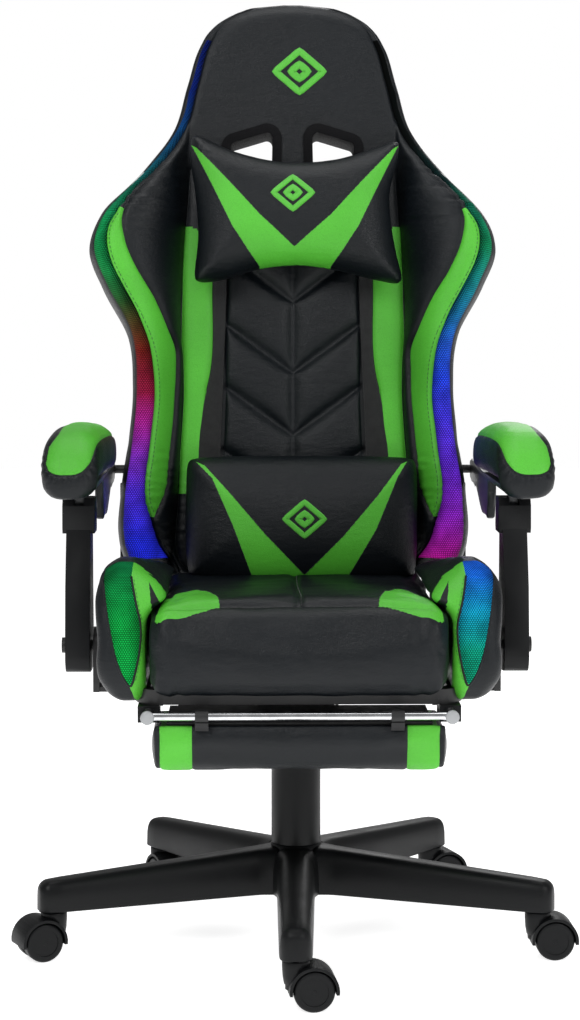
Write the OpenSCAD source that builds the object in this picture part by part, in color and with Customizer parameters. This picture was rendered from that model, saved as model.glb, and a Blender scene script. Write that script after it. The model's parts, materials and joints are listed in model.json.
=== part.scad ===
// Racing-style gaming chair: five-star base, gas lift, tilting seat, reclining back with linked
// armrests and a pull-out footrest. Millimetres, +Z up, the sitter faces -Y, and the sitter's left is +X.
// The origin is on the floor, on the swivel axis.

/* [Base] */
// Radius of the circle through the five caster stems
base_radius = 327; // [300:1:340]
// Turn of the star base under the seat, in degrees
base_turn = -1; // [-5:1:5]
// Radius of a caster wheel
wheel_r = 25; // [24:1:26]
// Height of the hub's top above the floor
hub_top = 129; // [127:1:131]

/* [Seat] */
// Half the width of the middle seat cushion
seat_half = 182; // [178:1:182]
// Highest point of the middle seat cushion
seat_top = 477; // [473:1:480]

/* [Back] */
// Lean of the back from the vertical in its upright notch, in degrees
lean = 6.5; // [5:0.5:8]
// Depth of the recliner pivot behind the swivel axis
pivot_y = 235; // [233:1:238]
// Height of the recliner pivot
pivot_z = 420; // [418:1:423]
// Highest point of the back above the recliner pivot, along the back
back_top = 845; // [840:1:850]

/* [Armrests] */
// Depth of the front support's lower pivot
strut_y = -75; // [-78:1:-72]
// Height of the front support's lower pivot
strut_z = 402; // [400:1:404]
// Depth and height from the lower to the upper pivot, the same on the front support and on the back
link = [17, 185];

/* [Footrest] */
// Depth of the footrest's crossbar
crossbar_y = -277; // [-279:1:-276]
// Height of the footrest's crossbar and rails
crossbar_z = 344; // [343.5:0.5:344]

/* [Hidden] */
$fn = 48;
CASTERS = [1, 2, 3, 4, 5];
SIDES = ["left", "right"];

// running clearance on the radius of every pin and shaft
run = 0.08;

// base and casters
arm_low_hub = 66;
arm_low_tip = 62;
arm_top_tip = 101;
arm_half_hub = 25;
arm_tip_r = 20;
arm_wall = 4;
hub_r = 37;
stem_r = 5.5;
stem_top = 86;
trail = 20;
hood_r = wheel_r + 5;
hood_half = 23;
wheel_gap = 1.4;
axle_r = 3;
// the way that each caster trails, in degrees, from the arm at the sitter's left round to the front
caster_heading = [2, 18, 297, 206, 6];

// column
tube_r = 25;
tube_wall = 2;
tube_low = 62;
tube_top = 283;
gas_r = 14;
gas_wall = 2;
rod_r = 5;
cover_r = 32.5;
cover_wall = 1.5;
cover_step = 1.8;
cover_h = 150;

// mechanism
tilt_y = -55;
tilt_z = 333;
tilt_pin_r = 6;
housing_half = 48;
knob_y = -72;
lever_y = -35;
lever_z = 318;
plate_low = 349;
plate_t = 4;
bolt_r = 4;
bolt_x = 80;
bolt_y = 80;

// seat
bar_t = 4;
ring_low = plate_low + plate_t;
ring_h = 18;
ring_top = ring_low + ring_h;
ring_half = 200;
ring_front = -245;
ring_back = 205;
ring_tube = 18;
bolster_in = seat_half + 3;
bolster_back = 160;
mesh_t = 4;

// recliner, with each layer's inner and outer distance from the middle
arm_x = [223, 228.5];
bracket_x = [229, 234];
cap_x = [234.5, 241];
pivot_r = 7;
stud_r = 6;

// back, in its own frame: Y forward is negative, Z is along the back from the pivot
panel_front = -30;
panel_back = 35;
foam_cut = 555;
panel_low = 32;
frame_tube_r = 9;
frame_x = 148;
frame_top = 566;
// half the width of the whole back against the height along it
back_half = [[52, 232], [90, 244], [150, 241], [230, 230], [300, 225], [370, 232], [440, 268], [490, 286],
    [540, 270], [600, 215], [660, 170], [730, 148], [785, 130], [822, 98], [840, 52], [back_top, 0]];
// how far the wings stand forward of the panel against the height
wing_depth = [[52, 30], [100, 58], [150, 66], [300, 62], [400, 70], [490, 78], [560, 60],
    [610, 34], [645, 10]];
// where the wings' inner faces meet the panel against the height
wing_foot = [[52, 172], [150, 163], [300, 158], [420, 156], [520, 150], [600, 146], [645, 150]];
// corners of the left belt hole, mirrored for the right one
belt_hole = [[36, 650], [79, 637], [74, 610], [37, 606]];
belt_round = 8;
bezel = 13;

// armrests
strut_x = [263, 294];
strut_head_x = [258, 299];
core_low = 607;
core_t = 6;
fin_x = [253, 262];
tongue_x = [272, 284];
arm_pin_r = 5;
pad_toe = 3;

// footrest
rail_x = 183;
rail_r = 8;
rail_back = 190;
bar_r = 5;
foot_depth = 150;
foot_half = 173;
foot_low = 279;
foot_top = 334;
board_t = 8;

// ---------------------------------------------------------------- helpers

function spline(a, b, c, d, t) =
    0.5 * (2 * b + (c - a) * t + (2 * a - 5 * b + 4 * c - d) * t * t + (3 * b - a - 3 * c + d) * t * t * t);

// n points on each span of a smooth curve through the knots
function smooth(k, n) = concat(
    [for (i = [0 : len(k) - 2]) for (j = [0 : n - 1])
        spline(k[max(i - 1, 0)], k[i], k[i + 1], k[min(i + 2, len(k) - 1)], j / n)],
    [k[len(k) - 1]]);

function side_of(name) = name == "left" ? 1 : -1;

// a closed solid through rings with the same number of points each
module loft(rings) {
    n = len(rings[0]);
    m = len(rings);
    polyhedron(
        points = [for (r = rings) for (p = r) p],
        faces = concat(
            [for (i = [0 : m - 2]) for (j = [0 : n - 1]) each [
                [i * n + j, i * n + (j + 1) % n, (i + 1) * n + (j + 1) % n],
                [i * n + j, (i + 1) * n + (j + 1) % n, (i + 1) * n + j]]],
            [[for (j = [0 : n - 1]) n - 1 - j], [for (j = [0 : n - 1]) (m - 1) * n + j]]));
}

// a cylinder along X from x0 to x1, at depth y and height z
module along_x(x0, x1, y, z, r) {
    translate([min(x0, x1), y, z]) rotate([0, 90, 0]) cylinder(r = r, h = abs(x1 - x0));
}

// an outline in depth and height, extruded across from x0 to x1
module across(x0, x1) {
    translate([x0, 0, 0]) rotate([90, 0, 90]) linear_extrude(x1 - x0) children();
}

module rounded_rect(w, d, r) {
    square([w, d - 2 * r], center = true);
    square([w - 2 * r, d], center = true);
    for (x = [-1, 1], y = [-1, 1]) translate([x * (w / 2 - r), y * (d / 2 - r)]) circle(r);
}

module tube(r, wall, z0, z1) {
    translate([0, 0, z0]) difference() {
        cylinder(r = r, h = z1 - z0);
        translate([0, 0, -1]) cylinder(r = r - wall, h = z1 - z0 + 2);
    }
}

module mirrored(side) {
    mirror([side > 0 ? 0 : 1, 0, 0]) children();
}

module both_sides() {
    for (s = [1, -1]) mirrored(s) children();
}

// places what is modelled in the back's own frame
module on_back() {
    translate([0, pivot_y, pivot_z]) rotate([-lean, 0, 0]) children();
}

// ---------------------------------------------------------------- base

module arm_outline(inset) {
    polygon([[0, arm_half_hub - inset], [base_radius, arm_tip_r - inset],
        [base_radius, inset - arm_tip_r], [0, inset - arm_half_hub]]);
    translate([base_radius, 0]) circle(arm_tip_r - inset);
}

// one arm's side view between its underside and its top, which drops by `down`
module arm_side(down) {
    tip = base_radius + arm_tip_r;
    rotate([90, 0, 0]) linear_extrude(2 * hub_r, center = true)
        polygon([[0, arm_low_hub], [tip + 1, arm_low_tip], [tip + 1, arm_top_tip - 7 - down],
            [tip - 4, arm_top_tip - 2 - down], [tip - 12, arm_top_tip - down], [0, hub_top - 3 - down]]);
}

module arm_solid(inset, down) {
    intersection() {
        translate([0, 0, arm_low_tip - 4]) linear_extrude(hub_top) arm_outline(inset);
        arm_side(down);
    }
}

// the open cells under one arm, between its ribs
module arm_cells() {
    first = hub_r + 8;
    last = base_radius - 16;
    cell = (last - first + arm_wall) / 3;
    for (i = [0 : 2]) intersection() {
        translate([0, 0, -8]) arm_solid(arm_wall, 8);
        translate([first + i * cell, -hub_r, 0]) cube([cell - arm_wall, 2 * hub_r, hub_top]);
    }
}

// the two thin ribs that run along the underside of one arm
module arm_ribs() {
    length = base_radius - hub_r - 22;
    intersection() {
        arm_solid(arm_wall / 2, 2);
        for (s = [-1, 1]) translate([hub_r + 6, s * 7 - 1.2, arm_low_tip]) cube([length, 2.4, hub_top]);
    }
}

module star_base() {
    color("#1c1d1f") rotate([0, 0, base_turn]) difference() {
        union() {
            translate([0, 0, arm_low_hub]) cylinder(r = hub_r, h = hub_top - arm_low_hub);
            for (i = CASTERS) rotate([0, 0, arm_angle(i)]) arm_solid(0, 0);
        }
        translate([0, 0, arm_low_hub - 10]) cylinder(r = tube_r, h = hub_top);
        for (i = CASTERS) rotate([0, 0, arm_angle(i)]) {
            arm_cells();
            translate([base_radius, 0, arm_low_tip - 5])
                cylinder(r = stem_r, h = stem_top + 2 - arm_low_tip + 5);
        }
    }
    color("#1c1d1f") rotate([0, 0, base_turn])
        for (i = CASTERS) rotate([0, 0, arm_angle(i)]) arm_ribs();
}

function arm_angle(i) = 72 * i - 90;

module at_caster(i) {
    rotate([0, 0, base_turn + arm_angle(i)]) translate([base_radius, 0, 0])
        rotate([0, 0, caster_heading[i - 1] - base_turn - arm_angle(i)]) children();
}

// ---------------------------------------------------------------- casters

module across_wheel(r, y0, y1) {
    translate([trail, y1, wheel_r]) rotate([90, 0, 0]) cylinder(r = r, h = y1 - y0);
}

// the fender over both wheels, the web between them, and the steel stem and axle that it holds
module caster_hood() {
    boss_top = arm_low_tip - 0.6;
    web = 3.4;
    color("#202124") difference() {
        union() {
            difference() {
                union() {
                    across_wheel(hood_r, -hood_half, hood_half);
                    translate([0, 0, wheel_r]) cylinder(r = 13, h = boss_top - wheel_r);
                }
                translate([-60, -40, -20]) cube([130, 80, wheel_r + 16]);
                across_wheel(wheel_r + wheel_gap, web, 40);
                across_wheel(wheel_r + wheel_gap, -40, -web);
            }
            across_wheel(wheel_r - 6, -web, web);
        }
        across_wheel(axle_r, -40, 40);
        translate([0, 0, boss_top - 14]) cylinder(r = stem_r - run, h = 20);
    }
    color("#b9bcc0") translate([0, 0, boss_top - 14])
        cylinder(r = stem_r - run, h = stem_top - boss_top + 14);
    color("#b9bcc0") across_wheel(axle_r, -hood_half + 2, hood_half - 2);
}

// one wheel's half section, with a rounded tread and a shallow dish in its outer face
module wheel_section(w) {
    r = 4;
    difference() {
        union() {
            translate([axle_r + run, 0]) square([wheel_r - axle_r - run - r, w]);
            translate([axle_r + run, r]) square([wheel_r - axle_r - run, w - 2 * r]);
            for (y = [r, w - r]) translate([wheel_r - r, y]) circle(r);
        }
        translate([axle_r + run - 1, w - 1]) square([wheel_r - 7 - axle_r, 2]);
    }
}

module caster_wheels() {
    w = 18;
    color("#161618") for (s = [-1, 1]) translate([trail, s * 4, wheel_r]) rotate([-90 * s, 0, 0])
        rotate_extrude() wheel_section(w);
}

// ---------------------------------------------------------------- column

module column_tube() {
    color("#17181a") {
        tube(tube_r, tube_wall, tube_low, tube_top);
        difference() {
            translate([0, 0, tube_low]) cylinder(r = tube_r - tube_wall + 0.5, h = 3);
            translate([0, 0, tube_low - 1]) cylinder(r = rod_r + run, h = 6);
        }
    }
}

module guide_bush() {
    color("#e8e6df") tube(tube_r - tube_wall, tube_r - tube_wall - gas_r - run, tube_top - 58, tube_top);
}

module dust_cover(i) {
    low = hub_top + 2 * i;
    color("#232426") tube(cover_r - i * cover_step, cover_wall, low + 0.2, low + cover_h);
}

// the rod with its piston, thrust collar and retaining clip
module piston_rod() {
    color("#c8cacd") {
        translate([0, 0, tube_low - 4]) cylinder(r = rod_r, h = 150);
        translate([0, 0, tube_low + 138]) cylinder(r = gas_r - gas_wall - run, h = 10);
        translate([0, 0, tube_low + 3.2]) cylinder(r = 9, h = 4);
        translate([0, 0, tube_low - 3.5]) cylinder(r = 8, h = 3);
    }
}

module gas_cylinder() {
    low = tube_low + 26;
    top = 322;
    color("#26272a") difference() {
        translate([0, 0, low]) cylinder(r = gas_r, h = top - low);
        translate([0, 0, low + 8]) cylinder(r = gas_r - gas_wall, h = top - low - 20);
        translate([0, 0, low - 1]) cylinder(r = rod_r + run, h = 12);
    }
}

// ---------------------------------------------------------------- tilt mechanism

module housing_outline() {
    polygon([[-95, 288], [-95, 342], [-34, 342], [-12, 324], [28, 324], [95, 304], [95, 293],
        [30, 286], [-30, 286]]);
}

module mechanism_housing() {
    wall = 3;
    color("#1f2022") difference() {
        union() {
            difference() {
                across(-housing_half, housing_half) housing_outline();
                across(wall - housing_half, housing_half - wall)
                    polygon([[-92, 292], [-92, 350], [92, 350], [92, 297]]);
            }
            translate([0, 0, 288]) cylinder(r = gas_r + 7, h = 36);
        }
        translate([0, 0, 280]) cylinder(r = gas_r, h = 60);
        along_x(-60, 60, tilt_y, tilt_z, tilt_pin_r);
        translate([0, knob_y, 280]) cylinder(r = 5 + run, h = 20);
        along_x(-60, -40, lever_y, lever_z, 9 + run);
    }
}

module tilt_pin() {
    color("#b9bcc0") {
        along_x(-57, 57, tilt_y, tilt_z, tilt_pin_r);
        both_sides() along_x(57, 60, tilt_y, tilt_z, tilt_pin_r + 3);
    }
}

// the coil that the knob squeezes, as one round wire along a helix
module tension_spring() {
    turns = 6;
    coil_r = 11;
    wire_r = 1.8;
    low = 294.5;
    high = 326;
    steps = 18;
    color("#8c8f94") translate([0, knob_y, 0]) loft([for (i = [0 : turns * steps])
        let (a = 360 * i / steps, z = low + (high - low) * i / (turns * steps))
        [for (j = [0 : 7]) let (b = 45 * j, r = coil_r + wire_r * cos(b))
            [r * cos(a), r * sin(a), z + wire_r * sin(b)]]]);
}

module tension_knob() {
    color("#1a1b1d") translate([0, knob_y, 0]) {
        translate([0, 0, 254]) cylinder(r = 17, h = 28);
        for (i = [0 : 7]) rotate([0, 0, 45 * i]) translate([16.5, 0, 254]) cylinder(r = 4, h = 26);
        translate([0, 0, 281]) cylinder(r = 5, h = 41);
    }
}

module lever_pivot() {
    color("#2a2b2e") difference() {
        union() {
            along_x(-62, -42, lever_y, lever_z, 9);
            along_x(-66, -62, lever_y, lever_z, 12);
        }
        along_x(-70, -40, lever_y, lever_z, 5 + run);
    }
}

// a rod that runs out under the sitter's right thigh and turns forward into a flat paddle
module height_lever() {
    reach = -142;
    tip = lever_y - 62;
    color("#1c1d1f") {
        along_x(reach, -34, lever_y, lever_z, 5);
        translate([reach, lever_y, lever_z]) sphere(5);
        translate([reach - 11, tip, lever_z - 4]) cube([22, lever_y - tip, 8]);
        translate([reach, tip, lever_z - 4]) cylinder(r = 11, h = 8);
    }
}

// ---------------------------------------------------------------- seat

module seat_plate() {
    ear = [housing_half + 2, housing_half + 6];
    color("#232427") {
        difference() {
            translate([0, 0, plate_low]) linear_extrude(plate_t) rounded_rect(210, 216, 12);
            for (x = [-1, 1], y = [-1, 1]) translate([x * bolt_x, y * bolt_y, plate_low - 1])
                cylinder(r = bolt_r + 0.2, h = 10);
        }
        both_sides() difference() {
            union() {
                translate([ear[0], tilt_y - 14, tilt_z]) cube([ear[1] - ear[0], 28, plate_low - tilt_z + 1]);
                along_x(ear[0], ear[1], tilt_y, tilt_z, 14);
            }
            along_x(ear[0] - 1, ear[1] + 1, tilt_y, tilt_z, tilt_pin_r + run);
        }
    }
}

// a welded ring of square tube, with two flat bars for the mechanism and stubs for the recliners
module seat_frame() {
    depth = ring_back - ring_front;
    mid = (ring_back + ring_front) / 2;
    color("#2b2c2f") {
        translate([0, mid, ring_low]) difference() {
            linear_extrude(ring_h) rounded_rect(2 * ring_half, depth, 35);
            translate([0, 0, -1]) linear_extrude(ring_h + 2)
                rounded_rect(2 * (ring_half - ring_tube), depth - 2 * ring_tube, 20);
        }
        for (y = [-1, 1]) difference() {
            translate([-ring_half + 4, y * bolt_y - 20, ring_low]) cube([2 * ring_half - 8, 40, bar_t]);
            for (x = [-1, 1]) translate([x * bolt_x, y * bolt_y, ring_low - 1])
                cylinder(r = bolt_r + 0.2, h = 10);
        }
        both_sides() translate([ring_half - 2, bolster_back + 4, ring_low]) cube([31, 22, ring_h]);
    }
}

module seat_bolts() {
    color("#9da0a5") for (x = [-1, 1], y = [-1, 1]) translate([x * bolt_x, y * bolt_y, 0]) {
        translate([0, 0, plate_low - 5]) cylinder(r = 7.5, h = 5, $fn = 6);
        translate([0, 0, plate_low - 2]) cylinder(r = bolt_r, h = 18);
    }
}

module seat_cushion() {
    front = ring_front - 1.5;
    color("#26272b") across(-seat_half, seat_half) polygon(concat(
        [[front, ring_top + 0.2], [front, 363]],
        smooth([[-253, 363], [-266, 374], [-274, 400], [-273, 432], [-264, 458], [-246, seat_top - 5],
            [-215, seat_top], [-140, seat_top - 5], [0, seat_top - 17], [130, seat_top - 24],
            [186, seat_top - 24], [198, seat_top - 34]], 3),
        [[199, ring_top + 0.2]]));
}

// front view of the bolster at the sitter's left, as distance from the middle and height
function bolster_front_view() = concat(
    [[bolster_in, ring_top + 0.3], [ring_half + 2, ring_top + 0.3], [ring_half + 2, 353]],
    smooth([[216, 352.5], [231, 371], [240, 395], [243, 428], [249, 460], [249, 486], [240, 507], [221, 520],
        [203, 519], [192, 503], [bolster_in, 480]], 3));

// side view of a bolster, as depth and height
function bolster_side_view() = concat(
    [[bolster_back, 352.5], [bolster_back, 478]],
    smooth([[153, 506], [112, 519], [20, 521], [-100, 519], [-175, 508], [-222, 480], [-243, 440],
        [-249, 400], [-240, 366], [-215, 352.5]], 3));

module bolster_shape() {
    intersection() {
        translate([0, 300, 0]) rotate([90, 0, 0]) linear_extrude(600) polygon(bolster_front_view());
        across(bolster_in - 5, 260) polygon(bolster_side_view());
    }
}

// the lit mesh covers the bolster's front and outer corner, mesh_t thick
module bolster_mesh_zone() {
    intersection() {
        translate([0, 300, 0]) rotate([90, 0, 0]) linear_extrude(600)
            polygon(smooth([[218, 372], [206, 410], [203, 450], [207, 490], [214, 511], [230, 512],
                [245, 500], [252, 470], [246, 430], [238, 395], [218, 372]], 3));
        difference() {
            across(150, 260) polygon(bolster_side_view());
            translate([0, mesh_t, -mesh_t]) across(149, 261) polygon(bolster_side_view());
        }
        translate([150, -260, 340]) cube([120, 200, 200]);
    }
}

module seat_bolster(side) {
    color("#1d1e21") mirrored(side) difference() {
        bolster_shape();
        bolster_mesh_zone();
    }
}

module seat_led_mesh() {
    color("#0fa048") both_sides() intersection() {
        bolster_shape();
        bolster_mesh_zone();
    }
}

module seat_led_strips() {
    color("#f4f4f0") both_sides() for (x = [224]) translate([x, -228, 400]) cube([10, 2.4, 60]);
}

// ---------------------------------------------------------------- recliners

module recliner_brackets() {
    color("#303134") both_sides() {
        difference() {
            across(bracket_x[0], bracket_x[1]) hull() {
                translate([pivot_y, pivot_z]) circle(26, $fn = 32);
                translate([bolster_back + 4, ring_low]) square([48, ring_h]);
            }
            along_x(220, 240, pivot_y, pivot_z, pivot_r);
        }
        along_x(arm_x[0] - 1, bracket_x[1], pivot_y, pivot_z, pivot_r);
    }
}

module recliner_caps() {
    color("#17181a") both_sides() {
        along_x(cap_x[0], cap_x[1] - 4, pivot_y, pivot_z, 31);
        along_x(cap_x[1] - 4, cap_x[1], pivot_y, pivot_z, 27);
    }
}

module recliner_lever() {
    color("#1b1c1e") mirrored(-1) {
        along_x(cap_x[1] + 0.5, cap_x[1] + 8, pivot_y, pivot_z, 14);
        translate([cap_x[1] + 2, pivot_y - 62, pivot_z - 6]) cube([5, 60, 12]);
        translate([cap_x[1] + 1, pivot_y - 64, pivot_z - 9]) cube([8, 34, 18]);
        along_x(cap_x[1] + 1, cap_x[1] + 9, pivot_y - 64, pivot_z, 9);
    }
}

// the plates on the back's sides, with the studs that carry the armrests
module recliner_arms() {
    color("#303134") on_back() both_sides() {
        difference() {
            across(arm_x[0], arm_x[1]) hull() {
                circle(18, $fn = 32);
                translate(stud_at()) circle(14, $fn = 32);
            }
            along_x(220, 240, 0, 0, pivot_r + run);
        }
        along_x(arm_x[0] + 1, fin_x[1] + 2, stud_at()[0], stud_at()[1], stud_r);
        along_x(fin_x[1] + 1, fin_x[1] + 4, stud_at()[0], stud_at()[1], stud_r + 3);
    }
}

// the armrest stud in the back's frame
function stud_at() = [link[0] * cos(lean) - link[1] * sin(lean), link[0] * sin(lean) + link[1] * cos(lean)];

module recliner_covers() {
    color("#17181a") on_back() both_sides() translate([arm_x[1], -27, 44]) cube([14, 56, 122]);
}

// ---------------------------------------------------------------- back

function back_half_at(v) = lookup(v, [for (p = smooth(back_half, 4)) p]);
function wing_depth_at(v) = lookup(v, [for (p = smooth(wing_depth, 4)) p]);
function wing_foot_at(v) = lookup(v, [for (p = smooth(wing_foot, 4)) p]);

// half of the panel's outline: narrow between the recliner plates, then the whole back
function panel_half() = concat(
    [[190, panel_low], [212, panel_low + 12], [222, 70], [222, 204]],
    [for (v = [208, 230, 300, 370, 405, 440, 465, 490, 515, 540, 570, 600, 630, 660, 695, 730, 760, 785])
        [back_half_at(v), v]],
    [for (p = smooth([for (i = [12 : len(back_half) - 1]) back_half[i]], 4)) if (p[0] > 786) [p[1], p[0]]]);

module belt_outline(grow) {
    hull() for (p = belt_hole) translate(p) circle(belt_round + grow, $fn = 32);
}

module back_tubes(r) {
    both_sides() translate([frame_x, 0, 12]) cylinder(r = r, h = frame_top - 12);
    for (v = [60, frame_top]) {
        along_x(-frame_x, frame_x, 0, v, r);
        both_sides() translate([frame_x, 0, v]) sphere(r);
    }
    both_sides() along_x(frame_x, arm_x[0], 0, 60, r);
}

module back_frame() {
    color("#2b2c2f") on_back() back_tubes(frame_tube_r);
}

// a block of the back's foam, from half of its outline
module back_foam(half) {
    other = [for (i = [len(half) - 1 : -1 : 0]) if (half[i][0] > 0.01) [-half[i][0], half[i][1]]];
    color("#222327") on_back() difference() {
        translate([0, panel_back, 0]) rotate([90, 0, 0]) linear_extrude(panel_back - panel_front)
            polygon(concat(half, other));
        both_sides() translate([0, panel_back + 5, 0]) rotate([90, 0, 0])
            linear_extrude(80) belt_outline(bezel - 3);
        back_tubes(frame_tube_r + 0.3);
    }
}

module back_cushion() {
    back_foam(concat([for (p = panel_half()) if (p[1] < foam_cut) p], [[back_half_at(foam_cut), foam_cut]]));
}

module head_cushion() {
    back_foam(concat([[back_half_at(foam_cut), foam_cut]], [for (p = panel_half()) if (p[1] > foam_cut) p]));
}

// one ring of a wing from its outer back edge, over the ridge, to its inner foot
function wing_ring(v, skin) =
    let (w = back_half_at(v) - skin, f = wing_foot_at(v), d = wing_depth_at(v), s = w - f)
    [[w, panel_front, v], [w + 0, panel_front - 0.45 * d, v], [w - 0.1 * s, panel_front - 0.8 * d, v],
     [w - 0.28 * s, panel_front - d, v], [w - 0.5 * s, panel_front - 0.92 * d, v],
     [f + 0.22 * s, panel_front - 0.45 * d, v], [f, panel_front, v]];

// the lit mesh wraps the wing's outer side, from the back edge to just short of the ridge
function mesh_ring(v) =
    let (outer = wing_ring(v, 0), inner = wing_ring(v, mesh_t))
    concat([for (i = [0 : 2]) outer[i]], [for (i = [2 : -1 : 0]) inner[i]]);

function wing_heights() = [for (v = [52 : 24.7 : 645.1]) v];

module back_wing(side) {
    color("#1f2024") on_back() mirrored(side) loft([for (v = wing_heights()) wing_ring(v, mesh_t + 0.5)]);
}

module back_led_mesh() {
    color("#1b3fd0") on_back() both_sides() loft([for (v = wing_heights()) mesh_ring(v)]);
}

module back_led_strips() {
    color("#f4f4f0") on_back() both_sides() loft([for (v = [80 : 40 : 600])
        let (w = back_half_at(v) - mesh_t - 2, y = panel_front - 0.12 * wing_depth_at(v))
        [[w, y, v], [w, y - 8, v], [w - 2.4, y - 8, v], [w - 2.4, y, v]]]);
}

module belt_bezels() {
    color("#0f1011") on_back() both_sides() difference() {
        union() {
            translate([0, panel_back + 2, 0]) rotate([90, 0, 0]) linear_extrude(panel_back - panel_front + 4)
                belt_outline(bezel - 3.2);
            for (y = [panel_back + 3, panel_front]) translate([0, y, 0]) rotate([90, 0, 0])
                linear_extrude(3) belt_outline(bezel);
        }
        translate([0, panel_back + 10, 0]) rotate([90, 0, 0]) linear_extrude(90) belt_outline(0);
    }
}

// ---------------------------------------------------------------- straps and pillows

// the two elastic straps of the lumbar pillow, down the back's face, and behind it to the hem
module lumbar_straps() {
    t = 1.6;
    color("#1a1a1c") on_back() both_sides() {
        translate([0, panel_front - 0.3, 0]) rotate([90, 0, 0]) linear_extrude(t)
            polygon([[92, 560], [116, 560], [116, 440], [142, 200], [140, 60], [116, 60], [118, 200],
                [92, 440]]);
        translate([0, panel_back + 0.3 + t, 0]) rotate([90, 0, 0]) linear_extrude(t)
            polygon([[62, 580], [86, 580], [120, 60], [96, 60]]);
    }
}

// the neck pillow's band behind the bridge between the belt holes, with its buckle
module head_strap() {
    t = 1.6;
    band = 14;
    low = 602.5;
    behind = panel_back + 5.5;
    color("#1a1a1c") on_back() {
        translate([-64, behind, low]) cube([128, t, band]);
        both_sides() translate([64 - t, panel_front - 40, low])
            cube([t, behind + t - panel_front + 40, band]);
        translate([-18, behind + t, low - 4]) cube([36, 6, band + 8]);
    }
}

// a stuffed pillow: rings across its width, each a rounded oblong that shrinks to the ends
module pillow(x0, half_w, v0, v1, back, front, square_up) {
    n = 20;
    m = 14;
    vc = (v0 + v1) / 2;
    yc = (back + front) / 2;
    loft([for (i = [0 : m])
        let (u = -cos(180 * i / m) * 0.999, s = pow(1 - pow(abs(u), square_up), 1 / square_up))
        [for (j = [0 : n - 1])
            let (a = -360 * j / n, c = cos(a), d = sin(a))
            [x0 + u * half_w,
             yc + s * (back - front) / 2 * sign(c) * pow(abs(c), 0.75),
             vc + (0.35 + 0.65 * s) * (v1 - v0) / 2 * sign(d) * pow(abs(d), 0.7)]]]);
}

module head_pillow() {
    color("#232428") on_back() pillow(2, 148, 440, 620, panel_front - 6, panel_front - 98, 3);
}

module lumbar_pillow() {
    color("#232428") on_back() pillow(6, 158, 30, 198, panel_front - 3, panel_front - 108, 4);
}

// ---------------------------------------------------------------- armrests

strut_top = [strut_y + link[0], strut_z + link[1]];
back_stud = [pivot_y + link[0], pivot_z + link[1]];

// the plate outside each bolster, its foot under the seat frame, and the bolt that the support turns on
module arm_brackets() {
    color("#1b1c1e") both_sides() {
        across(252, 260) hull() {
            translate([strut_y, strut_z]) circle(24, $fn = 32);
            translate([strut_y - 26, 345]) square([52, 10]);
        }
        translate([193, strut_y - 23, 345]) cube([60, 46, 6.5]);
        translate([193, strut_y - 23, 351]) cube([8, 46, ring_low - 351]);
        along_x(259, 300, strut_y, strut_z, stud_r);
        along_x(strut_x[1] + 3, strut_x[1] + 7, strut_y, strut_z, stud_r + 4);
    }
}

module arm_strut(side) {
    color("#1e1f21") mirrored(side) difference() {
        union() {
            across(strut_x[0], strut_x[1]) polygon(concat(
                [[strut_top[0] + 22, strut_top[1] - 30], [strut_top[0] - 22, strut_top[1] - 30]],
                smooth([[-107, 480], [-118, 405], [-116, 382], [-100, 371], [-52, 371], [-35, 382],
                    [-33, 405], [-36, 480]], 3)));
            across(strut_head_x[0], strut_head_x[1]) polygon([
                [strut_top[0] - 15, strut_top[1] + 4], [strut_top[0] - 23, strut_top[1] - 6],
                [strut_top[0] - 25, strut_top[1] - 34],
                [strut_top[0] - 22, strut_top[1] - 41], [strut_top[0] + 20, strut_top[1] - 41],
                [strut_top[0] + 24, strut_top[1] - 34], [strut_top[0] + 20, strut_top[1] + 4]]);
        }
        along_x(strut_x[0] - 2, strut_x[1] + 2, strut_y, strut_z, stud_r + run);
        translate([tongue_x[0] - 0.5, strut_top[0] - 19, strut_top[1] - 15])
            cube([tongue_x[1] - tongue_x[0] + 1, 38, 40]);
        translate([tongue_x[0] - 0.5, strut_top[0] - 60, strut_top[1] - 5])
            cube([tongue_x[1] - tongue_x[0] + 1, 60, 40]);
    }
    color("#b9bcc0") mirrored(side)
        along_x(strut_head_x[0] + 2, strut_head_x[1] - 2, strut_top[0], strut_top[1], arm_pin_r);
}

// the plate under the pad, the tongue in the support's head, and the fin back to the stud
module armrest_core(side) {
    color("#3a3c40") mirrored(side) difference() {
        union() {
            translate([fin_x[0], -186, core_low]) cube([54, 262, core_t]);
            across(tongue_x[0], tongue_x[1]) {
                translate(strut_top) circle(12);
                translate([strut_top[0] - 12, strut_top[1]]) square([24, core_low - strut_top[1] + 1]);
            }
            across(fin_x[0], fin_x[1]) polygon([[-6, core_low + 2], [12, 558], [96, 558], [190, 588],
                [back_stud[0] + 12, back_stud[1] - 13], [back_stud[0] + 15, back_stud[1] + 4],
                [back_stud[0] + 4, back_stud[1] + 14], [92, core_low + core_t]]);
        }
        along_x(tongue_x[0] - 2, tongue_x[1] + 2, strut_top[0], strut_top[1], arm_pin_r + 0.4);
        along_x(fin_x[0] - 2, fin_x[1] + 2, back_stud[0], back_stud[1], stud_r + run);
    }
}

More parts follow.
